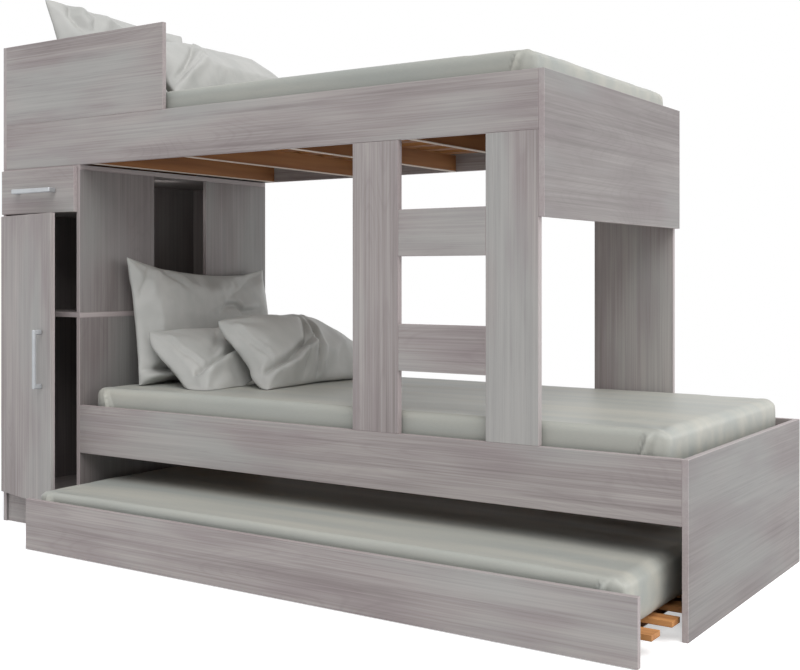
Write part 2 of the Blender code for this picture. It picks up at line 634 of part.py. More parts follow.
def build_castor(shop, name, seat, inward, holder):
    """Build a fixed castor on the inner face of a board: a bracket and its wheel on stub axles."""
    plate_start = seat.y + inward * GAP
    wheel_centre = Vector((seat.x, seat.y + inward * WHEEL_SETBACK, WHEEL_RADIUS))
    nose = WHEEL_SETBACK + CHEEK_NOSE
    inner_width = WHEEL_WIDTH + 2 * CHEEK_PLAY
    outer_width = inner_width + 2 * CHEEK_THICKNESS
    height = CASTOR_TOP - CHEEK_BOTTOM
    middle_z = CHEEK_BOTTOM + height / 2
    plate = box_shape((CASTOR_PLATE_WIDTH, CASTOR_PLATE, height))
    plate_centre = Vector((seat.x, plate_start + inward * CASTOR_PLATE / 2, middle_z))
    bracket = shop.place(name + "_castor_bracket", plate, plate_centre, holder, "hinge_steel")
    cheek_start = plate_start + inward * JOIN_OVERLAP
    cheek_end = seat.y + inward * nose
    cheek_length = abs(cheek_end - cheek_start)
    cheek_middle = (cheek_start + cheek_end) / 2
    cheeks = box_shape((outer_width, cheek_length, height - 2 * JOIN_OVERLAP))
    cheeks_centre = Vector((seat.x, cheek_middle, middle_z))
    tool = shop.cutter(name + "_castor_cheeks", cheeks, cheeks_centre, holder)
    combine(bracket, tool, "UNION")
    slot_start = plate_start + inward * CASTOR_PLATE
    slot_length = abs(cheek_end - slot_start) + CUT_OVERRUN
    slot_centre = Vector((seat.x, slot_start + inward * slot_length / 2, middle_z))
    slot = box_shape((inner_width, slot_length, height + 2 * CUT_OVERRUN))
    combine(bracket, shop.cutter(name + "_castor_slot", slot, slot_centre, holder), "DIFFERENCE")
    hole = cylinder_shape(AXLE_RADIUS + AXLE_PLAY, outer_width + 2 * CUT_OVERRUN, PIN_SIDES, "X")
    combine(bracket, shop.cutter(name + "_castor_hole", hole, wheel_centre, holder), "DIFFERENCE")
    tread = cylinder_shape(WHEEL_RADIUS, WHEEL_WIDTH, ROUND_SIDES, "X")
    wheel = shop.place(name + "_castor_wheel", tread, wheel_centre, holder, "castor_plastic")
    break_edges(wheel, WHEEL_ROUND)
    axle = cylinder_shape(AXLE_RADIUS, outer_width, PIN_SIDES, "X")
    combine(wheel, shop.cutter(name + "_castor_axle", axle, wheel_centre, holder), "UNION")
    return wheel


def rounded_cushion(size, radius, crown, waist):
    """Make a mattress: a box with round edges, a crowned top and sides drawn in between its edges.

    It stands on a flat bottom at zero height.
    """
    half = Vector(size) / 2
    shape = box_shape(size)
    quarter = radius * math.tan(math.pi / 8)
    for axis in range(3):
        reach = half[axis]
        lines = [reach - radius, reach - radius + quarter]
        cuts = [sign * line for sign in (-1, 1) for line in lines]
        spread = max(1, round(reach / half.y * 2)) if axis < 2 else 0
        cuts += [(reach - radius) * (2 * step / spread - 1) for step in range(1, spread)]
        normal = Vector([1 if index == axis else 0 for index in range(3)])
        for cut in cuts:
            geometry = shape.verts[:] + shape.edges[:] + shape.faces[:]
            bmesh.ops.bisect_plane(shape, geom=geometry, plane_co=normal * cut, plane_no=normal)
    for vertex in shape.verts:
        inner = Vector([max(radius - h, min(h - radius, c)) for c, h in zip(vertex.co, half)])
        out = vertex.co - inner
        if out.length > GAP:
            vertex.co = inner + out.normalized() * radius
        share = [vertex.co[axis] / half[axis] for axis in range(3)]
        vertex.co.x -= waist * share[0] * (1 - share[2] ** 2)
        vertex.co.y -= waist * share[1] * (1 - share[2] ** 2)
        rise = (1 - share[0] ** CROWN_FLATNESS) * (1 - share[1] ** 2)
        vertex.co.z += half.z + crown * rise * max(0, share[2])
    bmesh.ops.triangulate(shape, faces=shape.faces[:])
    return shape


def build_mattresses(shop, slide, tops, trundle_top):
    """Lay a mattress on each slat base."""
    placed = {}
    places = {
        "upper": (BOARD + UPPER_MATTRESS_START, UPPER_MATTRESS_LENGTH),
        "lower": (TOWER_WIDTH + LOWER_MATTRESS_START, MATTRESS_LENGTH),
    }
    for level, (start, length) in places.items():
        size = (length, MATTRESS_WIDTH, MATTRESS_HEIGHT)
        cushion = rounded_cushion(size, MATTRESS_ROUND, MATTRESS_CROWN, MATTRESS_WAIST)
        centre = Vector((start + length / 2, BED_DEPTH / 2, tops[level] + GAP))
        placed[level] = shop.place(level + "_mattress", cushion, centre, shop.root, "satin_fabric")
    size = (TRUNDLE_MATTRESS_LENGTH, TRUNDLE_MATTRESS_WIDTH, TRUNDLE_MATTRESS_HEIGHT)
    cushion = rounded_cushion(size, MATTRESS_ROUND, TRUNDLE_MATTRESS_CROWN, MATTRESS_WAIST)
    start = TOWER_WIDTH + TRUNDLE_START + TRUNDLE_MATTRESS_START
    centre = Vector((start + TRUNDLE_MATTRESS_LENGTH / 2, TRUNDLE_DEPTH / 2, trundle_top + GAP))
    placed["trundle"] = shop.place("trundle_mattress", cushion, centre, slide, "satin_fabric")
    for cushion in placed.values():
        cushion.data.shade_smooth()
    return placed


def pillow_shape(depth, thickness, bow):
    """Make a pillow cage: crowned, drawn in between four pointed corners, and bowed along its rows."""
    shape = bmesh.new()
    bmesh.ops.create_grid(shape, x_segments=PILLOW_COLUMNS, y_segments=PILLOW_ROWS, size=UNIT)
    for vertex in shape.verts:
        u = vertex.co.x
        v = vertex.co.y
        edge_share = (1 - abs(u) ** PILLOW_EDGE_POWER) * (1 - abs(v) ** PILLOW_EDGE_POWER)
        crown_share = edge_share**PILLOW_CROWN_POWER
        vertex.co.x = u * (PILLOW_WIDTH / 2 - PILLOW_DRAW_IN * (1 - v * v))
        vertex.co.y = v * (depth / 2 - PILLOW_DRAW_IN * (1 - u * u))
        vertex.co.z = thickness / 2 * crown_share
    creases = shape.verts.layers.float.new("crease_vert")
    for vertex in shape.verts:
        if len(vertex.link_edges) == 2:
            vertex[creases] = CORNER_CREASE_SHARE
    everything = shape.verts[:] + shape.edges[:] + shape.faces[:]
    bmesh.ops.mirror(shape, geom=everything, axis="Z", merge_dist=GAP)
    lower = [face for face in shape.faces if face.calc_center_median().z < 0]
    bmesh.ops.reverse_faces(shape, faces=lower)
    for vertex in shape.verts:
        vertex.co.z += bow * (1 - (2 * vertex.co.y / depth) ** 2)
    return shape


def pillow(shop, name, centre, angles, depth, thickness, bow):
    """Make a pillow above its bed, turned and leaning back, ready to be let down.

    Its width lies across the bed, and its rows climb towards the head board.
    """
    piece = shop.place(name, pillow_shape(depth, thickness, bow), centre, shop.root, "satin_fabric")
    across = Matrix.Rotation(math.pi / 2, 4, "Z")
    lean = Matrix.Rotation(math.radians(angles["lean"]), 4, "Y")
    turn = Matrix.Rotation(math.radians(angles["turn"]), 4, "Z")
    roll = Matrix.Rotation(math.radians(angles["roll"]), 4, "Z")
    piece.rotation_euler = (turn @ lean @ across @ roll).to_euler()
    smooth = piece.modifiers.new("smooth", "SUBSURF")
    smooth.levels = 1
    smooth.render_levels = 1
    bpy.context.view_layer.update()
    fix_shape(piece)
    return piece


def world_mesh(piece):
    """Give the points of an evaluated object and its tree, in world space."""
    graph = bpy.context.evaluated_depsgraph_get()
    evaluated = piece.evaluated_get(graph)
    mesh = evaluated.to_mesh()
    points = [evaluated.matrix_world @ vertex.co for vertex in mesh.vertices]
    faces = [tuple(polygon.vertices) for polygon in mesh.polygons]
    evaluated.to_mesh_clear()
    return points, BVHTree.FromPolygons(points, faces)


def fix_shape(piece):
    """Turn a smoothed cage into a plain mesh, so that its points can be moved.

    Each corner face is split from its tip inward, so that the tip keeps its volume.
    """
    graph = bpy.context.evaluated_depsgraph_get()
    smooth = bpy.data.meshes.new_from_object(piece.evaluated_get(graph))
    piece.modifiers.clear()
    piece.data = smooth
    shape = bmesh.new()
    shape.from_mesh(smooth)
    for tip in [vertex for vertex in shape.verts if len(vertex.link_edges) == 2]:
        for face in tip.link_faces[:]:
            corners = face.verts[:]
            inner = corners[(corners.index(tip) + 2) % len(corners)]
            bmesh.utils.face_split(face, tip, inner)
    shape.to_mesh(smooth)
    shape.free()
    piece.data.shade_smooth()


def pressed_height(height):
    """Turn a point's height over a support into its height once the cushion has sunk there.

    Points below the surface end just above it in their old order, and higher ones hardly move.
    """
    return (height + math.sqrt(height * height + 4 * PRESS_BLEND * PRESS_BLEND)) / 2


def seat(piece, supports, direction, gap):
    """Move a pillow along a direction into what carries it, and flatten it where it rests."""
    bpy.context.view_layer.update()
    points, tree = world_mesh(piece)
    trees = []
    distances = []
    for support in supports:
        support_points, support_tree = world_mesh(support)
        trees.append(support_tree)
        distances += [support_tree.ray_cast(point, direction)[3] for point in points]
        distances += [tree.ray_cast(point, -direction)[3] for point in support_points]
    travel = min(distance for distance in distances if distance is not None) + PILLOW_SINK
    piece.location = piece.location + direction * travel
    bpy.context.view_layer.update()
    for vertex in piece.data.vertices:
        point = piece.matrix_world @ vertex.co
        push = 0
        for support_tree in trees:
            distance = support_tree.ray_cast(point - direction * DROP_HEIGHT, direction)[3]
            if distance is not None:
                height = distance - DROP_HEIGHT
                push = max(push, gap + pressed_height(height) - height)
        vertex.co = piece.matrix_world.inverted() @ (point - direction * push)
    bpy.context.view_layer.update()


def lean_back(piece, head_x):
    """Push a pillow back against the plane of its head board, and flatten it there."""
    bpy.context.view_layer.update()
    nearest = min((piece.matrix_world @ vertex.co).x for vertex in piece.data.vertices)
    piece.location.x += head_x - PILLOW_SINK - nearest
    bpy.context.view_layer.update()
    for vertex in piece.data.vertices:
        point = piece.matrix_world @ vertex.co
        point.x = head_x + SOFT_GAP + pressed_height(point.x - head_x)
        vertex.co = piece.matrix_world.inverted() @ point
    bpy.context.view_layer.update()


def build_pillows(shop, mattresses, tops):
    """Stand one pillow against each head board and lean the others on the bed before it."""
    down = Vector((0, 0, -1))
    bow = PILLOW_BOW
    thick = PILLOW_THICKNESS
    depth = PILLOW_LEANING_DEPTH
    standing = [
        ("upper", BOARD, UPPER_BACK_PILLOW_ACROSS, UPPER_BACK_PILLOW_ANGLES),
        ("lower", TOWER_WIDTH, LOWER_BACK_PILLOW_ACROSS, LOWER_BACK_PILLOW_ANGLES),
    ]
    heights = {level: tops[level] + MATTRESS_HEIGHT + DROP_HEIGHT for level in tops}
    carriers = {level: [mattresses[level]] for level in tops}
    for level, head_x, across, angles in standing:
        centre = Vector((head_x + PILLOW_BACK_DEPTH / 2, across, heights[level]))
        rear = pillow(shop, level + "_back_pillow", centre, angles, PILLOW_BACK_DEPTH, thick, 0)
        lean_back(rear, head_x + shop.root.location.x)
        seat(rear, carriers[level], down, SOFT_GAP)
        carriers[level].append(rear)
    middle_x = TOWER_WIDTH + LOWER_MIDDLE_PILLOW_OUT + depth / 2
    middle_at = Vector((middle_x, LOWER_MIDDLE_PILLOW_ACROSS, heights["lower"]))
    angles = LOWER_MIDDLE_PILLOW_ANGLES
    thin = MIDDLE_PILLOW_THICKNESS
    middle = pillow(shop, "lower_middle_pillow", middle_at, angles, depth, thin, MIDDLE_PILLOW_BOW)
    seat(middle, carriers["lower"], down, SOFT_GAP)
    carriers["lower"].append(middle)
    front_x = TOWER_WIDTH + LOWER_FRONT_PILLOW_OUT + depth / 2
    front_at = Vector((front_x, LOWER_FRONT_PILLOW_ACROSS, heights["lower"]))
    front = pillow(shop, "lower_front_pillow", front_at, LOWER_FRONT_PILLOW_ANGLES, depth, thick, bow)
    seat(front, carriers["lower"], down, PILLOW_GAP)
    upper_x = BOARD + UPPER_FRONT_PILLOW_OUT + depth / 2
    upper_at = Vector((upper_x, UPPER_FRONT_PILLOW_ACROSS, heights["upper"]))
    upper = pillow(shop, "upper_front_pillow", upper_at, UPPER_FRONT_PILLOW_ANGLES, depth, thick, bow)
    seat(upper, carriers["upper"], down, SOFT_GAP)


def main():
    """Build the whole bed."""
    clear_scene()
    shop = Workshop()
    build_tower(shop)
    build_door(shop)
    build_drawer(shop)
    build_upper_frame(shop)
    build_ladder(shop)
    build_lower_frame(shop)
    tops = build_slat_bases(shop)
    slide, trundle_top = build_trundle(shop)
    mattresses = build_mattresses(shop, slide, tops, trundle_top)
    build_pillows(shop, mattresses, tops)


main()
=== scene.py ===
"""Dresses the triple bunk bed: laminate boards, slats, handles, castors, mattresses and pillows."""

from __future__ import annotations

import logging
import math
from dataclasses import dataclass
from enum import Enum

import bmesh
import bpy
import numpy as np
from bpy.types import ID, Material, Mesh, NodeSocket, NodeTree, Object, World
from mathutils import Matrix, Vector, noise
from mathutils.bvhtree import BVHTree

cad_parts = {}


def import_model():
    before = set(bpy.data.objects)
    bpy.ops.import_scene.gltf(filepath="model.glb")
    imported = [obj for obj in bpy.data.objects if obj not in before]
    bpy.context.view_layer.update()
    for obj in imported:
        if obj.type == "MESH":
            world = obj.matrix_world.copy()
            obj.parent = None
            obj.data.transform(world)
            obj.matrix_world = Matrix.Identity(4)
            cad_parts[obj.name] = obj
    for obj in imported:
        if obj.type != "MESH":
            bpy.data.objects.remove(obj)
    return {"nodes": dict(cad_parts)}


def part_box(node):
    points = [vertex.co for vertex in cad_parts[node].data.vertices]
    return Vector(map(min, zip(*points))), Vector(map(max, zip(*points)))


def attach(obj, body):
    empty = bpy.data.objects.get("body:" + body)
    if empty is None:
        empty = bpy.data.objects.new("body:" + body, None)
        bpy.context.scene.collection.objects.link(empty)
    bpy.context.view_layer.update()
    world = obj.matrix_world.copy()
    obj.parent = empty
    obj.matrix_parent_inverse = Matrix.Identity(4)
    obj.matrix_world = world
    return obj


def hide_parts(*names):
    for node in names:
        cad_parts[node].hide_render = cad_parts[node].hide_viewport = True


log = logging.getLogger("bunk_bed")

Pair = tuple[float, float]
Point = tuple[float, float, float]
WHITE = (1.0, 1.0, 1.0, 1.0)
ORIGIN: Point = (0.0, 0.0, 0.0)


class Grain(Enum):
    """The way a board's printed grain runs."""

    ALONG = 0
    ACROSS = 1
    UPRIGHT = 2


class Level(Enum):
    """One of the three beds."""

    UPPER = "upper"
    LOWER = "lower"
    TRUNDLE = "trundle"

    @property
    def body(self) -> str:
        """The body that the bed is part of."""
        return "trundle" if self is Level.TRUNDLE else "frame"

    @property
    def seed(self) -> float:
        """The place in the fold patterns that the bed's cover is cut from."""
        return {Level.UPPER: 0.0, Level.LOWER: 7.0, Level.TRUNDLE: 13.0}[self]


class Signal:
    """A node's output, whose operators add Math nodes."""

    def __init__(self, wiring: Wiring, socket: NodeSocket | None) -> None:
        """Wrap a socket of a tree."""
        self.wiring = wiring
        self.socket = socket

    def math(self, operation: str, *others: Signal | float, clamp: bool = False) -> Signal:
        """Add a Math node.

        Args:
            operation: the node's operation.
            others: what follows this signal in its inputs.
            clamp: whether the result stays between 0 and 1.

        Returns:
            The node's value.
        """
        settings = {"operation": operation, "use_clamp": clamp}
        return self.wiring.node("ShaderNodeMath", dict(enumerate((self, *others))), settings)

    def __add__(self, other: Signal | float) -> Signal:
        """Add."""
        return self.math("ADD", other)

    __radd__ = __add__

    def __mul__(self, other: Signal | float) -> Signal:
        """Multiply."""
        return self.math("MULTIPLY", other)

    def __sub__(self, other: Signal | float) -> Signal:
        """Subtract."""
        return self.math("SUBTRACT", other)

    def __rsub__(self, other: float) -> Signal:
        """Subtract this from a number."""
        return (self * -1.0).math("ADD", other)

    def span(self, low: float, high: float) -> Signal:
        """Stretch the stretch from low to high over 0 to 1, and hold it there."""
        return ((self - low) * (1.0 / (high - low))).math("ADD", 0.0, clamp=True)


class Wiring:
    """The nodes and links of one tree."""

    def __init__(self, tree: NodeTree) -> None:
        """Take a tree over."""
        self.tree = tree

    def node(
        self,
        kind: str,
        values: dict[str | int, object] | None = None,
        settings: dict[str, object] | None = None,
        output: str | int = 0,
    ) -> Signal:
        """Add a node.

        Args:
            kind: the node's type.
            values: numbers, colours or signals for its inputs.
            settings: its properties.
            output: the output that is passed on.

        Returns:
            The output.
        """
        made = self.tree.nodes.new(kind)
        for key, value in (settings or {}).items():
            setattr(made, key, value)
        for key, value in (values or {}).items():
            if isinstance(value, Signal):
                self.tree.links.new(value.socket, made.inputs[key])
            else:
                made.inputs[key].default_value = value
        return Signal(self, made.outputs[output] if len(made.outputs) else None)


class Recipe(Wiring):
    """The node tree of one material, or of the world."""

    def __init__(self, owner: Material | World) -> None:
        """Start with an empty tree."""
        owner.use_nodes = True
        super().__init__(owner.node_tree)
        self.owner = owner
        self.tree.nodes.clear()

    @classmethod
    def named(cls, name: str) -> Recipe:
        """Start the tree of a new material."""
        return cls(bpy.data.materials.new(name))

    def coordinates(self) -> Signal:
        """Give the object coordinates."""
        return self.node("ShaderNodeTexCoord", output="Object")

    def noise(self, scale: Point, detail: float, shift: Point = ORIGIN, roughness: float = 0.5) -> Signal:
        """Give a noise pattern.

        Args:
            scale: the pattern's cells in a metre along each axis.
            detail: the number of finer patterns in it.
            shift: the place in the pattern.
            roughness: the strength of the finer patterns.

        Returns:
            The pattern's value.
        """
        values = {"Vector": self.coordinates(), "Scale": scale, "Location": shift}
        place = self.node("ShaderNodeMapping", values)
        values = {"Vector": place, "Scale": 1.0, "Detail": detail, "Roughness": roughness}
        return self.node("ShaderNodeTexNoise", values)

    def vector(self, operation: str, *inputs: object) -> Signal:
        """Add a Vector Math node."""
        return self.node("ShaderNodeVectorMath", dict(enumerate(inputs)), {"operation": operation})

    def part(self, vector: Signal, axis: int) -> Signal:
        """Give one of a vector's three numbers."""
        return self.node("ShaderNodeSeparateXYZ", {0: vector}, output=axis)

    def ramp(self, signal: Signal, stops: list[tuple[float, Point]]) -> Signal:
        """Turn a value into a colour, by the places and colours of a ramp's stops."""
        colour = self.node("ShaderNodeValToRGB", {0: signal})
        elements = colour.socket.node.color_ramp.elements
        while len(elements) < len(stops):
            elements.new(0.5)
        for element, (place, shade) in zip(elements, stops):
            element.position = place
            element.color = (*shade, 1.0)
        return colour

    def blend(self, share: Signal | float, first: object, second: object, mode: str = "MIX") -> Signal:
        """Mix two colours."""
        first, second = (c if isinstance(c, Signal) else (*c, 1.0) for c in (first, second))
        settings = {"data_type": "RGBA", "blend_type": mode, "clamp_factor": True}
        return self.node("ShaderNodeMix", {0: share, 6: first, 7: second}, settings, 2)

    def bump(self, height: Signal, strength: float, distance: float, base: Signal | None = None) -> Signal:
        """Turn a height into a normal, on top of another normal where one is given."""
        values = {"Height": height, "Strength": strength, "Distance": distance}
        if base:
            values["Normal"] = base
        return self.node("ShaderNodeBump", values)

    def surface(
        self, colour: Signal, roughness: Signal, normal: Signal, others: dict[str, float] | None = None
    ) -> Material:
        """Close the tree with a principled shader, whose other inputs are given by name."""
        values = {"Base Color": colour, "Roughness": roughness, "Normal": normal, **(others or {})}
        shader = self.node("ShaderNodeBsdfPrincipled", values)
        self.node("ShaderNodeOutputMaterial", {"Surface": shader})
        return self.owner


def linear(red: int, green: int, blue: int) -> Point:
    """Turn a display colour of 0 to 255 into a linear one."""
    shares = (value / 255 for value in (red, green, blue))
    return tuple(s / 12.92 if s <= 0.04045 else ((s + 0.055) / 1.055) ** 2.4 for s in shares)


@dataclass(frozen=True)
class Layer:
    """A layer of printed grain: its cells in a metre across and along it, and its share of the tone."""

    across: float
    along: float
    offset: float
    detail: float = 2.0
    share: float = 0.0


@dataclass(frozen=True)
class Laminate:
    """Melamine board with a printed grey oak grain, thin bands on its edges, and painted shade on the wide
    faces of boards that face along X.
    """

    name: str
    grain: Grain
    low: Point
    high: Point
    shift: float
    dark: Point = linear(132, 122, 121)
    middle: Point = linear(160, 152, 150)
    pale: Point = linear(183, 176, 172)
    green: Point = linear(163, 166, 163)
    mauve: Point = linear(150, 137, 139)
    pore: Point = linear(118, 105, 106)
    band: Point = linear(174, 161, 161)
    band_width: float = 0.0011
    band_share: float = 0.5
    # Painted shade: how far the wide faces of boards that face along X are darkened.
    side_shade_share: float = 0.61
    figure: Layer = Layer(4.2, 1.3, 3.0, share=0.31)
    cloud: Layer = Layer(13.0, 2.4, 5.0, share=0.17)
    streak: Layer = Layer(76.0, 1.4, 1.0, 3.0, 0.25)
    line: Layer = Layer(250.0, 1.8, 2.0, share=0.27)
    thread: Layer = Layer(640.0, 9.0, 4.0)
    bend: Layer = Layer(6.0, 1.1, 6.0, 1.0)
    ring_rate: float = 190.0
    ring_share: float = 0.13
    pore_share: float = 0.26

    @property
    def thin(self) -> int:
        """The axis that the board is thinnest along."""
        lengths = [high - low for low, high in zip(self.low, self.high)]
        return lengths.index(min(lengths))

    def pattern(self, recipe: Recipe, layer: Layer) -> Signal:
        """Give one layer of the printed grain."""
        along = self.grain.value
        scale = tuple(layer.along if axis == along else layer.across for axis in range(3))
        offset = layer.offset
        shift = (self.shift + offset, 1.7 * self.shift + 2.0 * offset, 0.6 * self.shift - offset)
        return recipe.noise(scale, layer.detail, shift, 0.55)

    def edge(self, recipe: Recipe) -> Signal:
        """Give 1 on the board's narrow faces and 0 on its wide ones."""
        middle = tuple((low + high) / 2 for low, high in zip(self.low, self.high))
        half = tuple((high - low) / 2 for low, high in zip(self.low, self.high))
        offset = recipe.vector("SUBTRACT", recipe.coordinates(), middle)
        inset = recipe.vector("SUBTRACT", half, recipe.vector("ABSOLUTE", offset))
        depths = [recipe.part(inset, axis) for axis in range(3) if axis != self.thin]
        return depths[0].math("MINIMUM", depths[1]).span(self.band_width, self.band_width * 0.6)

    def material(self) -> Material:
        """Build the board's material."""
        recipe = Recipe.named("laminate_" + self.name)
        layers = (self.figure, self.cloud, self.streak, self.line, self.thread)
        figure, cloud, streak, line, thread = (self.pattern(recipe, layer) for layer in layers)
        tone = figure * self.figure.share + cloud * self.cloud.share
        tone = tone + streak * self.streak.share + line * self.line.share
        colour = recipe.ramp(tone, [(0.36, self.dark), (0.5, self.middle), (0.64, self.pale)])
        colour = recipe.blend(figure.span(0.5, 0.66) * 0.5, colour, self.green)
        colour = recipe.blend(cloud.span(0.5, 0.36) * 0.25, colour, self.mauve)
        bend = self.pattern(recipe, self.bend)
        rings = (bend * self.ring_rate).math("SINE").span(0.55, 1.0) * figure.span(0.54, 0.44)
        pores = thread.span(0.54, 0.68) * streak.span(0.56, 0.44)
        marks = (rings * self.ring_share).math("MAXIMUM", pores * self.pore_share)
        colour = recipe.blend(marks, colour, self.pore)
        edge = self.edge(recipe)
        # Painted shade: on boards that face along X the wide faces are darkened, as less light falls on
        # them; the narrow faces keep their colour.
        if self.thin == 0:
            colour = recipe.blend(1.0 - edge, colour, (self.side_shade_share,) * 3, "MULTIPLY")
        colour = recipe.blend(edge * self.band_share, colour, self.band)
        relief = recipe.bump(thread * 0.4 + line * 0.6, 0.1, 0.0005)
        return recipe.surface(colour, 0.4 + (streak * 0.16), relief, {"Specular IOR Level": 0.4})


@dataclass(frozen=True)
class SlatTimber:
    """Plain sawn softwood of the slats, which run along the bed, and of the bearers across it."""

    name: str
    low: float
    split: float
    pale: Point = linear(200, 142, 86)
    dark: Point = linear(160, 106, 60)
    bearer: Point = (0.55, 0.49, 0.44)
    edge: Point = linear(226, 214, 202)

    def material(self) -> Material:
        """Build the timber's material."""
        recipe = Recipe.named("timber_" + self.name)
        height = recipe.part(recipe.coordinates(), 2)
        slat = height.span(self.split - 0.0004, self.split + 0.0004)
        along = recipe.noise((1.4, 46.0, 34.0), 3.0)
        across = recipe.noise((46.0, 1.8, 34.0), 3.0)
        rings = slat * along + (1.0 - slat) * across
        fibres = recipe.noise((9.0, 300.0, 300.0), 2.0, (2.0, 1.0, 4.0))
        tone = rings * 0.85 + fibres * 0.15
        colour = recipe.ramp(tone, [(0.34, self.dark), (0.66, self.pale)])
        colour = recipe.blend(1.0 - slat, colour, self.bearer, "MULTIPLY")
        under = (height - self.low).math("ABSOLUTE").span(0.0022, 0.0016)
        colour = recipe.blend(under * 0.8, colour, self.edge)
        return recipe.surface(colour, 0.62 + (fibres * 0.15), recipe.bump(fibres, 0.2, 0.0004))


@dataclass(frozen=True)
class SatinMetal:
    """Brushed metal of the handles and hinges."""

    name: str
    colour: Point
    roughness: float = 0.34
    worn: Point = (0.32, 0.33, 0.34)

    def material(self) -> Material:
        """Build the metal's material."""
        recipe = Recipe.named(self.name)
        brushing = recipe.noise((500.0, 500.0, 40.0), 2.0)
        wear = recipe.noise((30.0, 30.0, 30.0), 3.0)
        colour = recipe.blend(wear.span(0.4, 0.8) * 0.25, self.colour, self.worn)
        roughness = self.roughness + (brushing * 0.16)
        return recipe.surface(colour, roughness, recipe.bump(brushing, 0.1, 0.0002), {"Metallic": 0.85})


@dataclass(frozen=True)
class MouldedPlastic:
    """Black moulded plastic of the castors."""

    colour: Point = (0.028, 0.028, 0.031)
    dusty: Point = (0.13, 0.12, 0.11)

    def material(self) -> Material:
        """Build the plastic's material."""
        recipe = Recipe.named("castor_plastic")
        grain = recipe.noise((900.0, 900.0, 900.0), 2.0)
        dust = recipe.noise((60.0, 60.0, 60.0), 3.0)
        colour = recipe.blend(dust.span(0.45, 0.9) * 0.5, self.colour, self.dusty)
        return recipe.surface(colour, 0.42 + (dust * 0.25), recipe.bump(grain, 0.15, 0.0003))


@dataclass(frozen=True)
class SatinCloth:
    """Pale grey-green satin weave of the covers and pillowcases, with lengthwise streaks that are partly
    painted sheen.
    """

    name: str
    pale: Point
    shade: Point
    weave: float = 900.0
    float_share: float = 0.12

    def material(self) -> Material:
        """Build the cloth's material."""
        recipe = Recipe.named(self.name)
        # Painted sheen: the lengthwise streaks in the colour are partly the yarn's uneven tone and partly
        # the satin's sheen painted in.
        slub_and_sheen = recipe.noise((0.9, 15.0, 12.0), 2.0)
        ripple = recipe.noise((1.6, 9.0, 7.0), 1.0, (1.0, 4.0, 2.0))
        warp = recipe.noise((self.weave, self.weave * self.float_share, self.weave), 1.0)
        weft = recipe.noise((self.weave * self.float_share, self.weave, self.weave), 1.0)
        threads = warp * 0.5 + weft * 0.5
        colour = recipe.ramp(slub_and_sheen * 0.7 + threads * 0.3, [(0.35, self.shade), (0.65, self.pale)])
        folds = recipe.bump(ripple, 0.3, 0.014, recipe.bump(threads, 0.1, 0.0003))
        sheen = {"Sheen Weight": 0.06, "Sheen Roughness": 0.4, "Specular IOR Level": 0.3}
        return recipe.surface(colour, 0.4 + (slub_and_sheen * 0.12), folds, sheen)


@dataclass
class Finishes:
    """The materials that several pieces share, built once."""

    handles: Material
    fixings: Material
    castors: Material
    cover: Material
    pillowcase: Material

    @classmethod
    def build(cls) -> Finishes:
        """Build the materials."""
        cover = SatinCloth("satin_cover", linear(182, 180, 170), linear(160, 163, 158))
        case = SatinCloth("satin_pillowcase", linear(186, 185, 181), linear(172, 172, 168))
        return cls(
            handles=SatinMetal("satin_aluminium", linear(196, 199, 202)).material(),
            fixings=SatinMetal("plated_steel", linear(200, 200, 202), 0.26).material(),
            castors=MouldedPlastic().material(),
            cover=cover.material(),
            pillowcase=case.material(),
        )


def dress(nodes: dict[str, Object], name: str, material: Material) -> None:
    """Give a carried-over node its material."""
    for slot in nodes[name].material_slots:
        slot.material = material


def put(name: str, data: ID) -> Object:
    """Put a mesh, a light or a camera in the scene."""
    thing = bpy.data.objects.new(name, data)
    bpy.context.scene.collection.objects.link(thing)
    return thing


def new_piece(name: str, mesh: Mesh, material: Material) -> Object:
    """Put a mesh in the scene under its material."""
    piece = put(name, mesh)
    mesh.materials.clear()
    mesh.materials.append(material)
    return piece


def points_of(mesh: Mesh) -> np.ndarray:
    """Give the points of a mesh."""
    return np.array([vertex.co[:] for vertex in mesh.vertices])


def baked(piece: Object) -> Mesh:
    """Give the mesh that a piece's modifiers make, and take them off the piece."""
    graph = bpy.context.evaluated_depsgraph_get()
    mesh = bpy.data.meshes.new_from_object(piece.evaluated_get(graph))
    piece.modifiers.clear()
    return mesh


def shell(axes: list[list[float]]) -> tuple[list[Point], list[tuple[int, ...]]]:
    """Make the closed surface of a box that is cut at given places along each axis.

    Args:
        axes: the places along each of the three axes, in order, the box's own borders included.

    Returns:
        The points, and the four-cornered faces, which face outwards.
    """
    points: list[Point] = []
    numbers: dict[tuple[int, ...], int] = {}
    faces = []

    def number(key: tuple[int, ...]) -> int:
        """Give the number of the point at three grid places, made when it is first asked for."""
        if key not in numbers:
            numbers[key] = len(points)
            points.append(tuple(places[step] for places, step in zip(axes, key)))
        return numbers[key]

    for axis in range(3):
        right, up = (axis + 1) % 3, (axis + 2) % 3
        for side in (0, len(axes[axis]) - 1):
            for i in range(len(axes[right]) - 1):
                for j in range(len(axes[up]) - 1):
                    face = []
                    for across, along in ((i, j), (i + 1, j), (i + 1, j + 1), (i, j + 1)):
                        key = [side, side, side]
                        key[right], key[up] = across, along
                        face.append(number(tuple(key)))
                    faces.append(tuple(face) if side else tuple(reversed(face)))
    return points, faces


def cuts(half: float, fine: float, coarse: float, reach: float) -> list[float]:
    """Give places from -half to half, finely spaced near both ends."""
    edge = min(reach, half)
    count = max(1, round(edge / fine))
    ends = [edge * step / count for step in range(count + 1)]
    inner = 2 * (half - edge)
    steps = max(1, round(inner / coarse)) if inner > 1e-6 else 0
    middle = [edge - half + inner * step / steps for step in range(1, steps)]
    far = [half - end for end in reversed(ends)]
    return [end - half for end in ends] + middle + (far if steps else far[1:])


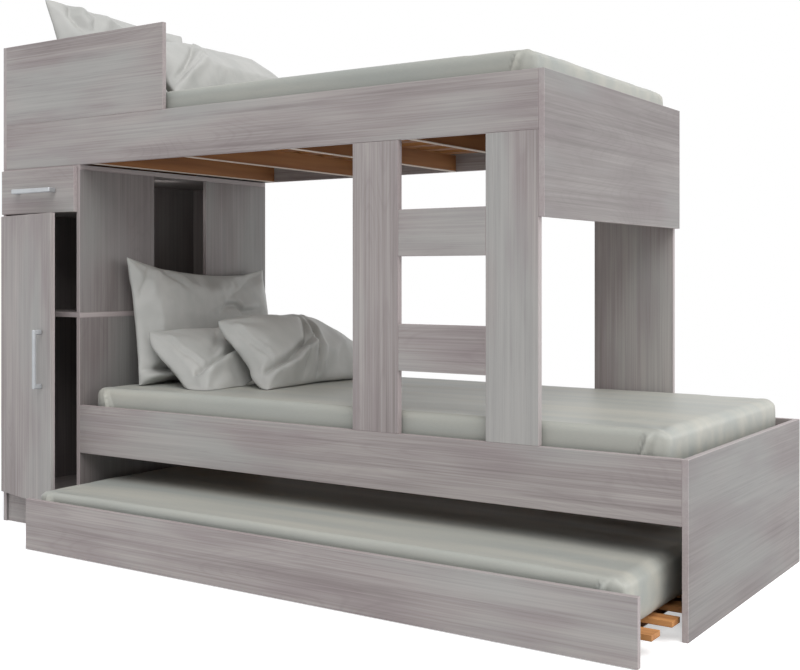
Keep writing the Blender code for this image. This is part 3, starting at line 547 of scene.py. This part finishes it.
@dataclass(frozen=True)
class Tuck:
    """A fold on a mattress's long side, given by distances from its end and from its top."""

    start: Pair
    end: Pair
    width: float
    height: float

    def rise(self, inset: float, depth: float) -> float:
        """Give how far the fold stands out at a point."""
        run_x, run_z = self.end[0] - self.start[0], self.end[1] - self.start[1]
        length = math.hypot(run_x, run_z)
        run_x, run_z = run_x / length, run_z / length
        along = (inset - self.start[0]) * run_x + (depth - self.start[1]) * run_z
        off = (inset - self.start[0]) * run_z - (depth - self.start[1]) * run_x
        over = max(0.0, -along, along - length)
        return self.height * math.exp(-((off / self.width) ** 2) - (over / 0.02) ** 2)


@dataclass
class Mattress:
    """A mattress in its satin cover, rounded, crowned and tucked in at its corners."""

    level: Level
    finishes: Finishes
    rounding: float = 0.03
    side_rounding: float = 0.015
    waist: float = 0.002
    bulge: float = 0.006
    crown: float = 0.006
    sink: float = 0.001
    wave: float = 0.0022
    fold: float = 0.0028
    ripple: float = 0.0016
    fan: float = 0.0016
    fan_folds: int = 9
    fan_reach: float = 0.2
    fine: float = 0.0055
    coarse: float = 0.02
    reach: float = 0.12
    tucks: tuple[Tuck, ...] = (
        Tuck((0.05, 0.022), (0.078, 0.085), 0.004, 0.0055),
        Tuck((0.046, 0.036), (0.064, 0.09), 0.0055, -0.015),
        Tuck((0.026, 0.045), (0.034, 0.09), 0.01, 0.003),
    )

    def build(self) -> Object:
        """Build the mattress over its node."""
        low, high = (Vector(corner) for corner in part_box(self.level.value + "_mattress"))
        half = (high - low) / 2
        reaches = (self.reach, self.reach, half.z)
        axes = [cuts(half[axis], self.fine, self.coarse, reaches[axis]) for axis in range(3)]
        points, faces = shell(axes)
        middle = (low + high) / 2
        mesh = bpy.data.meshes.new(self.level.value + "_cover")
        mesh.from_pydata([self.soften(Vector(point), half) + middle for point in points], [], faces)
        piece = new_piece(self.level.value + "_cover", mesh, self.finishes.cover)
        mesh.shade_smooth()
        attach(piece, self.level.body)
        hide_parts(self.level.value + "_mattress")
        return piece

    def soften(self, point: Vector, half: Vector) -> Vector:
        """Move a point of the plain box onto the rounded, crowned and slightly creased cover."""
        share = Vector([point[axis] / half[axis] for axis in range(3)])
        radii = Vector((self.rounding, self.side_rounding, self.rounding))
        inner = Vector([max(r - h, min(h - r, c)) for c, h, r in zip(point, half, radii)])
        out = Vector([(c - i) / r for c, i, r in zip(point, inner, radii)])
        normal = out.normalized() if out.length > 1e-6 else Vector((0.0, 0.0, 1.0))
        point = inner + Vector([n * r for n, r in zip(normal, radii)])
        seed = self.level.seed
        flow = Vector((point.x * 1.5 + point.y * 1.3 + seed, point.y * 6.0, seed))
        wave = noise.fractal(flow, 1.0, 2.0, 2)
        top = max(0.0, normal.z)
        fullness = (1 - share.x**4) * (1 - share.y**2)
        point.z -= top * (self.crown * (1 - fullness) + self.sink - wave * self.wave)
        folds = noise.noise(Vector((point.x * 4 + seed, point.y * 25.0, point.z * 2.5)))
        ripple = noise.noise(Vector((point.x * 9 + seed, point.y * 4, point.z * 3)))
        point.x += normal.x * (self.bulge * (1 - share.z**2) + folds * self.fold * (1.0 - share.z))
        point.y -= normal.y * (self.waist - ripple * self.ripple)
        return self.tuck(point, half, normal)

    def tuck(self, point: Vector, half: Vector, normal: Vector) -> Vector:
        """Gather the cover in the folds beside each upright corner, and fan them over the top."""
        inset = half.x - abs(point.x)
        beside = half.y - abs(point.y)
        depth = half.z - point.z
        if inset < self.reach and abs(normal.y) > 0.1:
            rise = sum(fold.rise(inset, depth) for fold in self.tucks)
            point.y += math.copysign(rise * min(1.0, abs(normal.y) * 1.3), point.y)
        reach = math.hypot(inset, beside)
        if normal.z > 0.1 and reach < self.fan_reach:
            fan = math.cos(math.atan2(beside, inset) * self.fan_folds) * (1 - reach / self.fan_reach)
            fan *= min(1.0, reach / 0.05)
            point.z += self.fan * normal.z * (fan - 1)
        return point


@dataclass(frozen=True)
class Crease:
    """A fold along a line of points, given in shares of a pillow's half width and half depth."""

    line: tuple[Pair, ...]
    width: float
    depth: float
    ridge: float = 0.7
    ridge_offset: float = 2.2
    ridge_width: float = 1.6
    taper: float = 0.3

    def heights(self, places: np.ndarray, half: np.ndarray) -> np.ndarray:
        """Give how far the fold moves the surface: a groove with a ridge on its left side.

        Args:
            places: the points across and along the pillow, in metres.
            half: half the pillow's width and depth.

        Returns:
            One height for each point.
        """
        corners = np.array(self.line) * half
        nearest = np.full(len(places), 1e9)
        signed = np.zeros(len(places))
        travel = np.zeros(len(places))
        legs = np.linalg.norm(np.diff(corners, axis=0), axis=1)
        gone = 0.0
        for start, end, leg in zip(corners, corners[1:], legs):
            way = (end - start) / leg
            offset = places - start
            run = np.clip(offset @ way, 0.0, leg)
            gap = np.linalg.norm(offset - run[:, None] * way, axis=1)
            closer = gap < nearest
            side = way[0] * offset[:, 1] - way[1] * offset[:, 0]
            nearest = np.where(closer, gap, nearest)
            signed = np.where(closer, np.copysign(gap, side), signed)
            travel = np.where(closer, gone + run, travel)
            gone += leg
        ends = np.minimum(travel, gone - travel) / (self.taper * gone)
        taper = np.clip(self.taper + ends, 0.0, 1.0)
        groove = -np.exp(-((nearest / self.width) ** 1.4))
        beside = (signed - self.ridge_offset * self.width) / (self.ridge_width * self.width)
        ridge = self.ridge * np.exp(-(beside**2))
        return self.depth * taper * (groove + ridge)


@dataclass(frozen=True)
class PillowPlan:
    """Where a pillow lies and how its case is folded."""

    name: str
    width: float
    depth: float
    thickness: float
    lean: float
    bow: float = 0.0
    turn: float = 0.0
    roll: float = 0.0
    nudge: Point = ORIGIN
    belly: float = 1.0
    hang: float = 0.0
    sag: float = 0.0
    slump: float = 0.0
    gather: float = 0.0
    curl: float = 0.0
    creases: tuple[Crease, ...] = ()
    level: Level = Level.LOWER


@dataclass(frozen=True)
class Nook:
    """The free room over a mattress between the boards around it."""

    head: float
    front: float
    front_top: float
    rear: float
    rear_top: float

    @classmethod
    def over(cls, level: Level) -> Nook:
        """Measure the room over one mattress."""
        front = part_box("guard_board" if level is Level.UPPER else "lower_front_rail")[1]
        rear_low, rear_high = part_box(level.value + "_rear_rail")
        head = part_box(level.value + "_head_panel")[1][0]
        return cls(head, front[1], front[2], rear_low[1], rear_high[2])

    def hold(self, point: Vector, gap: float) -> None:
        """Keep a point off the head panel, and off the side boards while it is below their tops."""
        point.x = max(point.x, self.head + gap)
        if point.z < self.front_top:
            point.y = max(point.y, self.front + gap)
        if point.z < self.rear_top:
            point.y = min(point.y, self.rear - gap)


@dataclass
class PillowMaker:
    """Blows up a pillowcase by cloth simulation, folds it and lays it in its place."""

    finishes: Finishes
    spacing: float = 0.01
    pressure: float = 4.0
    frames: int = 20
    gap: float = 0.0012
    give: float = 0.006
    pinch: float = 0.007
    draw_in: float = 0.35
    start_share: float = 0.32
    rise_share: float = 0.42
    swell_share: float = 0.2
    crumple_height: float = 0.0035
    gather_height: float = 0.0034
    gather_folds: int = 11
    gather_reach: float = 0.09
    gather_spread: float = 0.0042

    def case(self, plan: PillowPlan) -> Object:
        """Make a flat, closed pillowcase."""
        shape = bmesh.new()
        columns = round(plan.width / self.spacing)
        rows = round(plan.depth / self.spacing)
        bmesh.ops.create_grid(shape, x_segments=columns, y_segments=rows, size=1.0)
        for vertex in shape.verts:
            u, v = vertex.co.x, vertex.co.y
            fullness = ((1 - abs(u) ** 5) * (1 - abs(v) ** 4)) ** 0.45 * (1 - 0.6 * abs(u * v) ** 3)
            vertex.co.x = u * (plan.width / 2 - self.pinch * (1 - v * v))
            vertex.co.y = v * (plan.depth / 2 - self.pinch * (1 - u * u))
            vertex.co.z = plan.thickness * self.start_share * fullness
        everything = shape.verts[:] + shape.edges[:] + shape.faces[:]
        bmesh.ops.mirror(shape, geom=everything, axis="Z", merge_dist=0.0002)
        lower = [face for face in shape.faces if face.calc_center_median().z < 0]
        bmesh.ops.reverse_faces(shape, faces=lower)
        mesh = bpy.data.meshes.new(plan.name + "_case")
        shape.to_mesh(mesh)
        shape.free()
        return new_piece(plan.name + "_case", mesh, self.finishes.pillowcase)

    def inflate(self, piece: Object, plan: PillowPlan) -> None:
        """Run the cloth simulation and keep its last frame, with no point moved too far."""
        start = points_of(piece.data)
        cloth = piece.modifiers.new("cloth", "CLOTH")
        settings = cloth.settings
        settings.quality = 6
        settings.mass = 0.25
        settings.tension_stiffness = 22
        settings.compression_stiffness = 22
        settings.shear_stiffness = 6
        settings.bending_stiffness = 1.5
        settings.use_pressure = True
        settings.uniform_pressure_force = self.pressure
        settings.effector_weights.gravity = 0.0
        scene = bpy.context.scene
        cloth.point_cache.frame_start = 1
        cloth.point_cache.frame_end = self.frames
        for frame in range(1, self.frames + 1):
            scene.frame_set(frame)
        shift = points_of(baked(piece)) - start
        scene.frame_set(1)
        length = np.linalg.norm(shift, axis=1, keepdims=True)
        cap = plan.thickness * self.rise_share
        shift *= np.minimum(1.0, cap / np.maximum(length, 1e-9))
        self.move(piece, start + shift * np.array((self.draw_in, self.draw_in, 1.0)))

    @staticmethod
    def refine(piece: Object) -> None:
        """Give the case a mesh fine enough for its creases."""
        finer = piece.modifiers.new("finer", "SUBSURF")
        finer.levels = 1
        finer.render_levels = 1
        piece.data = baked(piece)

    @staticmethod
    def move(piece: Object, places: np.ndarray) -> None:
        """Move the points of a piece."""
        piece.data.vertices.foreach_set("co", places.astype(np.float32).ravel())
        piece.data.update()

    def fold(self, piece: Object, plan: PillowPlan) -> None:
        """Bring the pillow to its thickness, press the creases in, bow and slump it."""
        places = points_of(piece.data)
        upper = places[:, 2] > 0
        places[:, 2] *= plan.thickness / np.ptp(places[:, 2])
        places[~upper, 2] *= plan.belly
        half = np.array((plan.width, plan.depth)) / 2
        share = places[:, :2] / half
        places[:, 1] -= plan.sag * (1 - share[:, 0] ** 2) * np.clip(share[:, 1], 0.0, 1.0) ** 2
        swell = np.clip(np.abs(places[:, 2]) / (self.swell_share * plan.thickness), 0.0, 1.0)
        places[:, 0] -= plan.hang * swell * ~upper * np.clip(-share[:, 0], 0.0, 1.0) ** 4
        shift = np.zeros(len(places))
        for crease in plan.creases:
            shift += crease.heights(places[:, :2], half) * swell * upper
        small = self.gathers(places, half) + self.crumple(places, plan)
        shift += swell * small * np.where(upper, 1, -1)
        places[:, 2] += shift + plan.bow * (1 - (2 * places[:, 1] / plan.depth) ** 2)
        places[:, 2] -= plan.curl * np.clip(-0.1 - share[:, 0], 0.0, 1.0) ** 2
        far = np.clip((share[:, 0] + 0.35) / 1.1, 0.0, 1.0)
        far = far**2 * (3 - 2 * far)
        slump = math.radians(plan.slump) * far
        rise = (places[:, 1] + half[1]) * (1 - plan.gather * (1 - far))
        height = places[:, 2].copy()
        places[:, 1] = rise * np.cos(slump) + height * np.sin(slump) - half[1]
        places[:, 2] = height * np.cos(slump) - rise * np.sin(slump)
        self.move(piece, places)

    def crumple(self, places: np.ndarray, plan: PillowPlan) -> np.ndarray:
        """Give the shallow creases that cross the whole case."""
        seed = 10.0 * plan.lean
        flows = [Vector((6 * x + 2 * y + seed, 9 * y - 3 * x, seed)) for x, y, _ in places]
        waves = [noise.noise(flow) for flow in flows]
        return self.crumple_height * (0.5 - np.abs(waves) * 2.4)

    def gathers(self, places: np.ndarray, half: np.ndarray) -> np.ndarray:
        """Give the small folds that run from each corner of the case towards its middle."""
        beside = half - np.abs(places[:, :2])
        reach = np.hypot(beside[:, 0], beside[:, 1])
        bearing = np.arctan2(beside[:, 1], beside[:, 0])
        corner = np.sign(places[:, 0]) + 2 * np.sign(places[:, 1])
        fade = np.exp(-((reach - self.gather_reach) ** 2) / self.gather_spread)
        return self.gather_height * np.cos(bearing * self.gather_folds + corner * 1.3) * fade

    def lay(self, piece: Object, plan: PillowPlan) -> None:
        """Turn the pillow as its node stands and rest it where the node rests."""
        across = Matrix.Rotation(math.pi / 2, 4, "Z")
        lean = Matrix.Rotation(math.radians(plan.lean), 4, "Y")
        turn = Matrix.Rotation(math.radians(plan.turn), 4, "Z")
        roll = Matrix.Rotation(math.radians(plan.roll), 4, "Z")
        piece.data.transform(turn @ lean @ across @ roll)
        low, high = (np.array(corner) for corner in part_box(plan.name))
        places = points_of(piece.data)
        mine_low, mine_high = places.min(axis=0), places.max(axis=0)
        centre = (low + high - mine_low - mine_high)[1] / 2
        aims = (low[0] - mine_low[0], centre, high[2] - mine_high[2])
        self.move(piece, places + np.array(aims) + np.array(plan.nudge))

    def settle(self, piece: Object, level: Level, under: BVHTree, others: list[BVHTree]) -> None:
        """Flatten the pillow where it meets the mattress, the boards and the pillows behind it.

        Args:
            piece: the pillow.
            level: the bed it lies on.
            under: the mattress.
            others: the pillows that lie behind it.
        """
        nook = Nook.over(level)
        for vertex in piece.data.vertices:
            point = vertex.co.copy()
            for tree in others:
                near, normal, _, _ = tree.find_nearest(point, 0.1)
                if near and (point - near).dot(normal) < self.gap:
                    point = near + normal * self.gap
            nook.hold(point, self.gap)
            top = under.ray_cast(point + Vector((0.0, 0.0, 0.4)), Vector((0.0, 0.0, -1.0)))[0]
            if top:
                over = point.z - top.z - self.gap
                if over < self.give:
                    point.z = top.z + self.gap + self.give * math.exp(over / self.give - 1)
            vertex.co = point

    def build(self, plan: PillowPlan, under: BVHTree, others: list[BVHTree]) -> Object:
        """Build one pillow."""
        piece = self.case(plan)
        self.inflate(piece, plan)
        self.refine(piece)
        self.fold(piece, plan)
        self.lay(piece, plan)
        self.settle(piece, plan.level, under, others)
        piece.name = plan.name + "_stuffed"
        piece.data.shade_smooth()
        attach(piece, "frame")
        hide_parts(plan.name)
        return piece


def tree_of(piece: Object) -> BVHTree:
    """Give the search tree of a piece's faces."""
    points = [vertex.co for vertex in piece.data.vertices]
    return BVHTree.FromPolygons(points, [face.vertices for face in piece.data.polygons])


@dataclass
class Boards:
    """The laminate boards of the tower, the beds and the ladder, each with the grain it is cut to."""

    nodes: dict[str, Object]
    along: tuple[str, ...] = (
        "guard_board", "upper_front_rail", "upper_rear_rail", "lower_front_rail", "lower_rear_rail",
        "trundle_front_board", "trundle_rear_board", "ladder_lower_rung", "ladder_upper_rung",
        "drawer_front", "drawer_divider", "drawer_back", "tower_plinth",
    )
    across: tuple[str, ...] = (
        "upper_head_panel", "upper_foot_panel", "lower_foot_panel", "tower_top_board",
        "tower_mid_board", "wardrobe_bottom", "drawer_left_side", "drawer_right_side", "drawer_bottom",
    )
    upright: tuple[str, ...] = (
        "tower_left_side", "lower_head_panel", "tower_upper_front_side", "tower_upper_rear_side",
        "tower_rear_panel", "wardrobe_lower_back", "wardrobe_upper_back", "door",
        "ladder_left_stile", "ladder_right_stile", "rear_post",
    )

    def dress(self) -> None:
        """Give every board its material."""
        groups = {Grain.ALONG: self.along, Grain.ACROSS: self.across, Grain.UPRIGHT: self.upright}
        boards = [(name, grain) for grain, names in groups.items() for name in names]
        for number, (name, grain) in enumerate(boards):
            low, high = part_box(name)
            board = Laminate(name, grain, tuple(low), tuple(high), 3.7 * number)
            dress(self.nodes, name, board.material())
        log.info("boards: %d dressed", len(boards))


class Graph(Wiring):
    """A geometry node tree with named inputs."""

    def __init__(self, name: str, inputs: dict[str, str]) -> None:
        """Start a tree that takes and gives geometry.

        Args:
            name: the tree's name.
            inputs: the kind of socket of each further input, by name.
        """
        super().__init__(bpy.data.node_groups.new(name, "GeometryNodeTree"))
        face = self.tree.interface
        face.new_socket("Geometry", in_out="INPUT", socket_type="NodeSocketGeometry")
        self.keys = {
            label: face.new_socket(label, in_out="INPUT", socket_type="NodeSocket" + kind).identifier
            for label, kind in inputs.items()
        }
        face.new_socket("Geometry", in_out="OUTPUT", socket_type="NodeSocketGeometry")
        self.source = self.tree.nodes.new("NodeGroupInput")

    def given(self, label: str) -> Signal:
        """Give one of the tree's own inputs."""
        return Signal(self, self.source.outputs[label])

    def apply(self, piece: Object, values: dict[str, object]) -> Mesh:
        """Run the tree on a piece and give the plain mesh it makes."""
        modifier = piece.modifiers.new("nodes", "NODES")
        modifier.node_group = self.tree
        for label, value in values.items():
            modifier[self.keys[label]] = value
        bpy.context.view_layer.update()
        return baked(piece)


@dataclass(frozen=True)
class Screws:
    """Countersunk screws with a hexagon socket, one over each crossing of a slat and a bearer."""

    level: Level
    finish: Material
    radius: float = 0.0042
    rise: float = 0.0008
    top_share: float = 0.72
    socket_share: float = 0.42
    seed: int = 11

    def graph(self) -> Graph:
        """Build the tree that sets a screw head on every point, each turned at random."""
        inputs = {"Head Radius": "Float", "Head Rise": "Float", "Seed": "Int", "Finish": "Material"}
        graph = Graph("screw_heads", inputs)
        radius, rise, seed, finish = (graph.given(label) for label in inputs)
        top = radius * self.top_share
        sizes = {"Vertices": 20, "Radius Top": top, "Radius Bottom": radius, "Depth": rise}
        cone = graph.node("GeometryNodeMeshCone", sizes)
        sizes = {"Vertices": 6, "Radius": radius * self.socket_share, "Depth": rise}
        socket = graph.node("GeometryNodeMeshCylinder", sizes)
        lift = graph.node("ShaderNodeCombineXYZ", {2: rise})
        socket = graph.node("GeometryNodeTransform", {"Geometry": socket, "Translation": lift})
        head = graph.node("GeometryNodeMeshBoolean", {"Mesh 1": cone, "Mesh 2": socket})
        limits = {2: 0.0, 3: math.tau, "Seed": seed}
        angle = graph.node("FunctionNodeRandomValue", limits, {"data_type": "FLOAT"}, 1)
        turn = graph.node("ShaderNodeCombineXYZ", {2: angle})
        places = {"Points": graph.given("Geometry"), "Instance": head, "Rotation": turn}
        heads = graph.node("GeometryNodeInstanceOnPoints", places)
        real = graph.node("GeometryNodeRealizeInstances", {"Geometry": heads})
        painted = graph.node("GeometryNodeSetMaterial", {"Geometry": real, "Material": finish})
        graph.node("NodeGroupOutput", {"Geometry": painted})
        return graph

    def build(self, places: list[Point]) -> Object:
        """Set the screws at their places."""
        points = bpy.data.meshes.new(self.level.value + "_screw_places")
        points.from_pydata(places, [], [])
        piece = new_piece(self.level.value + "_slat_screws", points, self.finish)
        values = {"Head Radius": self.radius, "Head Rise": self.rise, "Seed": self.seed}
        piece.data = self.graph().apply(piece, {**values, "Finish": self.finish})
        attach(piece, self.level.body)
        return piece


@dataclass
class Hardware:
    """Handles, hinges, runners, slats with their screws, and castors."""

    nodes: dict[str, Object]
    finishes: Finishes

    def dress(self) -> None:
        """Give each carried-over fitting its material."""
        sides = ("left", "right")
        hinges = [f"{end}_hinge_{part}" for end in ("lower", "upper") for part in ("arm", "cup")]
        runners = [f"drawer_{side}_runner" for side in sides]
        corners = [f"{row}_{side}" for row in ("front", "rear") for side in sides]
        castors = [f"{corner}_castor_{part}" for corner in corners for part in ("bracket", "wheel")]
        groups = (
            (self.finishes.handles, ["door_handle", "drawer_handle"]),
            (self.finishes.fixings, hinges + runners),
            (self.finishes.castors, castors),
        )
        for material, names in groups:
            for name in names:
                dress(self.nodes, name, material)
        for level in Level:
            name = level.value + "_slat_base"
            heights = np.unique([round(vertex.co.z, 5) for vertex in self.nodes[name].data.vertices])
            timber = SlatTimber(level.value, float(heights[0]), float(heights[-2]))
            dress(self.nodes, name, timber.material())
            places = self.crossings(level)
            Screws(level, self.finishes.fixings).build(places)
            log.info("%s slat base: %d screws", level.value, len(places))

    def crossings(self, level: Level) -> list[Point]:
        """Give the middle of each slat over each bearer."""
        places = points_of(self.nodes[level.value + "_slat_base"].data).round(5)
        top, bottom = places[:, 2].max(), places[:, 2].min()
        sides = np.unique(places[places[:, 2] == top][:, 1])
        ends = np.unique(places[places[:, 2] == bottom][:, 0])
        slats = (sides[0::2] + sides[1::2]) / 2
        bearers = (ends[0::2] + ends[1::2]) / 2
        return [(float(x), float(y), float(top)) for x in bearers for y in slats]


EAR = Crease(((-0.7, 0.95), (-0.78, 0.6), (-0.7, 0.25)), 0.013, 0.02)
LOBE = Crease(((-0.35, 0.95), (-0.5, 0.6), (-0.62, 0.3)), 0.016, 0.016)
GUSSET = Crease(((-0.36, 0.3), (-0.5, -0.03), (-0.7, -0.4), (-0.92, -0.68)), 0.011, 0.022)
SECOND = Crease(((-0.42, -0.12), (-0.6, -0.4), (-0.78, -0.6), (-0.95, -0.8)), 0.009, 0.016)
DENT = Crease(((-0.72, 0.9), (-0.82, 0.62), (-0.88, 0.36)), 0.011, 0.014)
SHOULDER = Crease(((-0.56, 1.0), (-0.5, 0.7), (-0.36, 0.5)), 0.014, 0.02)
LOOP = Crease(((0.05, 0.14), (0.16, 0.26), (0.28, 0.27), (0.36, 0.17), (0.64, 0.22)), 0.009, 0.012)
CHEEK = Crease(((0.1, 0.3), (0.54, 0.66), (0.92, 0.95)), 0.028, 0.012)
ROLL = Crease(((0.1, -0.74), (-0.6, -0.7), (-1.0, -0.72)), 0.011, 0.024, 2.6)
SEAM = Crease(((-0.9, 0.8), (-0.88, 0.2), (-0.8, -0.45)), 0.0045, 0.006)
PLEAT = Crease(((-0.3, -0.16), (-0.5, -0.22), (-0.72, -0.36), (-0.96, -0.45)), 0.012, 0.026, 0.9)
BRANCH = Crease(((-0.4, 0.5), (-0.48, 0.2), (-0.68, -0.18)), 0.012, 0.014)
DEEP = Crease(((-0.22, -0.12), (-0.4, -0.26), (-0.6, -0.46), (-0.97, -0.6)), 0.014, 0.032, 0.9)
SWEEP = Crease(((0.0, 0.42), (-0.06, 0.15), (-0.13, -0.2), (-0.17, -0.55), (-0.2, -0.9)), 0.011, 0.018)
INNER = Crease(((-0.08, 0.5), (-0.15, 0.25), (-0.24, 0.0), (-0.36, -0.4), (-0.42, -0.85)), 0.01, 0.014)
PILLOWS = (
    PillowPlan(
        name="upper_back_pillow", level=Level.UPPER, width=0.655, depth=0.43, thickness=0.13,
        lean=68.0, roll=-4.0, nudge=(0.0, 0.018, 0.012), curl=0.04, creases=(EAR, LOBE),
    ),
    PillowPlan(
        name="upper_front_pillow", level=Level.UPPER, width=0.7, depth=0.365, thickness=0.15,
        bow=0.02, lean=33.0, turn=-1.0, roll=-1.5, nudge=(0.035, 0.0, -0.002),
        creases=(GUSSET, SECOND),
    ),
    PillowPlan(
        name="lower_back_pillow", width=0.71, depth=0.45, thickness=0.13, lean=79.0, roll=-3.4,
        sag=0.026, creases=(DENT, SHOULDER, LOOP, CHEEK, ROLL),
    ),
    PillowPlan(
        name="lower_middle_pillow", width=0.66, depth=0.365, thickness=0.13, bow=0.006,
        lean=33.0, turn=-10.0, nudge=(0.0, 0.015, 0.035), belly=1.7, hang=0.04,
        creases=(SEAM, PLEAT, BRANCH),
    ),
    PillowPlan(
        name="lower_front_pillow", width=0.62, depth=0.38, thickness=0.15, bow=0.02, lean=46.0,
        turn=-5.0, roll=1.0, nudge=(-0.01, -0.006, 0.018), belly=1.2, hang=0.04, sag=-0.07,
        slump=20.0, gather=0.2, creases=(SEAM, DEEP, SWEEP, INNER),
    ),
)


@dataclass
class Bedding:
    """The three mattresses and the five pillows."""

    finishes: Finishes

    def build(self) -> None:
        """Build the bedding."""
        beds = {}
        for level in Level:
            beds[level] = tree_of(Mattress(level, self.finishes).build())
            log.info("%s mattress: built", level.value)
        maker = PillowMaker(self.finishes)
        laid: dict[Level, list[BVHTree]] = {level: [] for level in Level}
        for plan in PILLOWS:
            pillow = maker.build(plan, beds[plan.level], laid[plan.level])
            laid[plan.level].append(tree_of(pillow))
            log.info("%s: built", plan.name)


@dataclass(frozen=True)
class Lamp:
    """A square lamp, the point it shines at, its width in metres and its power in watts."""

    name: str
    place: Point
    aim: Point
    size: float
    power: float

    def hang(self) -> None:
        """Hang the lamp, out of the camera's sight."""
        light = bpy.data.lights.new(self.name, "AREA")
        light.shape = "SQUARE"
        light.size = self.size
        light.energy = self.power
        lamp = put(self.name, light)
        lamp.location = self.place
        way = Vector(self.aim) - Vector(self.place)
        lamp.rotation_euler = way.to_track_quat("-Z", "Y").to_euler()
        lamp.visible_camera = False


@dataclass
class Studio:
    """The floor, the backdrop, the lamps and the camera."""

    camera_place: Point = (2.093, -2.918, 0.82)
    heading: float = 34.57
    lens: float = 53.38
    shift: Pair = (0.0369, -0.0743)
    fill: float = 0.45
    fill_tint: Point = (0.93, 0.96, 1.0)
    sun_side: Point = (0.67, -0.5, 1.08)
    sun_strength: float = 2.3
    sun_spread: float = 55.0
    floor_half: float = 30.0
    floor_grey: float = 0.8
    floor_glow: float = 0.5
    floor_fade: Pair = (1.6, 3.4)
    lamps: tuple[Lamp, ...] = (
        Lamp("foot_side", (4.2, -0.6, 1.1), (0.4, 0.0, 0.6), 1.6, 14.0),
        Lamp("niche", (-0.88, 0.12, 1.12), (-1.16, 0.3, 0.9), 0.1, 0.14),
        Lamp("rear_side", (3.2, 2.8, 1.3), (-0.9, 0.2, 0.6), 1.8, 22.0),
    )

    def floor(self) -> None:
        """Lay a plain pale floor that shows white and keeps the bed's shadow."""
        mesh = bpy.data.meshes.new("floor")
        half = self.floor_half
        corners = [(-half, -half, 0), (half, -half, 0), (half, half, 0), (-half, half, 0)]
        mesh.from_pydata(corners, [], [(0, 1, 2, 3)])
        recipe = Recipe.named("studio_floor")
        path = recipe.node("ShaderNodeLightPath", output="Is Camera Ray")
        plain = recipe.node("ShaderNodeBsdfDiffuse", {"Color": (*(self.floor_grey,) * 3, 1.0)})
        glow = recipe.node("ShaderNodeEmission", {"Color": WHITE, "Strength": self.floor_glow})
        white = recipe.node("ShaderNodeEmission", {"Color": WHITE, "Strength": 1.0})
        lit = recipe.node("ShaderNodeAddShader", {0: plain, 1: glow})
        settings = {"operation": "LENGTH"}
        reach = recipe.node("ShaderNodeVectorMath", {0: recipe.coordinates()}, settings, "Value")
        far = reach.span(*self.floor_fade)
        near = recipe.node("ShaderNodeMixShader", {0: far, 1: lit, 2: white})
        shown = recipe.node("ShaderNodeMixShader", {0: path, 1: plain, 2: near})
        recipe.node("ShaderNodeOutputMaterial", {"Surface": shown})
        new_piece("floor", mesh, recipe.owner)

    def world(self) -> None:
        """Fill the room with even light, behind which the camera sees white."""
        world = bpy.data.worlds.new("room")
        bpy.context.scene.world = world
        recipe = Recipe(world)
        camera = recipe.node("ShaderNodeLightPath", output="Is Camera Ray")
        glossy = recipe.node("ShaderNodeLightPath", output="Is Glossy Ray")
        tint = (*self.fill_tint, 1.0)
        fill = recipe.node("ShaderNodeBackground", {"Color": tint, "Strength": self.fill})
        white = recipe.node("ShaderNodeBackground", {"Color": WHITE, "Strength": 1.0})
        seen = camera.math("MAXIMUM", glossy)
        shown = recipe.node("ShaderNodeMixShader", {0: seen, 1: fill, 2: white})
        recipe.node("ShaderNodeOutputWorld", {"Surface": shown})

    def sky(self) -> None:
        """Hang the broad, even light that comes from above."""
        light = bpy.data.lights.new("overhead", "SUN")
        light.energy = self.sun_strength
        light.angle = math.radians(self.sun_spread)
        lamp = put("overhead", light)
        lamp.rotation_euler = Vector(self.sun_side).to_track_quat("Z", "Y").to_euler()

    def camera(self) -> None:
        """Stand the camera where the picture was taken from."""
        data = bpy.data.cameras.new("camera")
        data.lens = self.lens
        data.sensor_width = 36.0
        data.shift_x, data.shift_y = self.shift
        data.clip_end = 100.0
        camera = put("camera", data)
        camera.location = self.camera_place
        camera.rotation_euler = (math.radians(90), 0.0, math.radians(self.heading))
        bpy.context.scene.camera = camera

    def build(self) -> None:
        """Set up the studio."""
        bpy.context.scene.view_settings.view_transform = "Standard"
        self.floor()
        self.world()
        self.sky()
        for lamp in self.lamps:
            lamp.hang()
        self.camera()
        log.info("studio: set up")


def main() -> None:
    """Build the whole scene."""
    logging.basicConfig(level=logging.INFO, format="%(message)s")
    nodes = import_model()["nodes"]
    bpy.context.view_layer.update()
    finishes = Finishes.build()
    Boards(nodes).dress()
    Hardware(nodes, finishes).dress()
    Bedding(finishes).build()
    Studio().build()


if __name__ == "__main__":
    main()
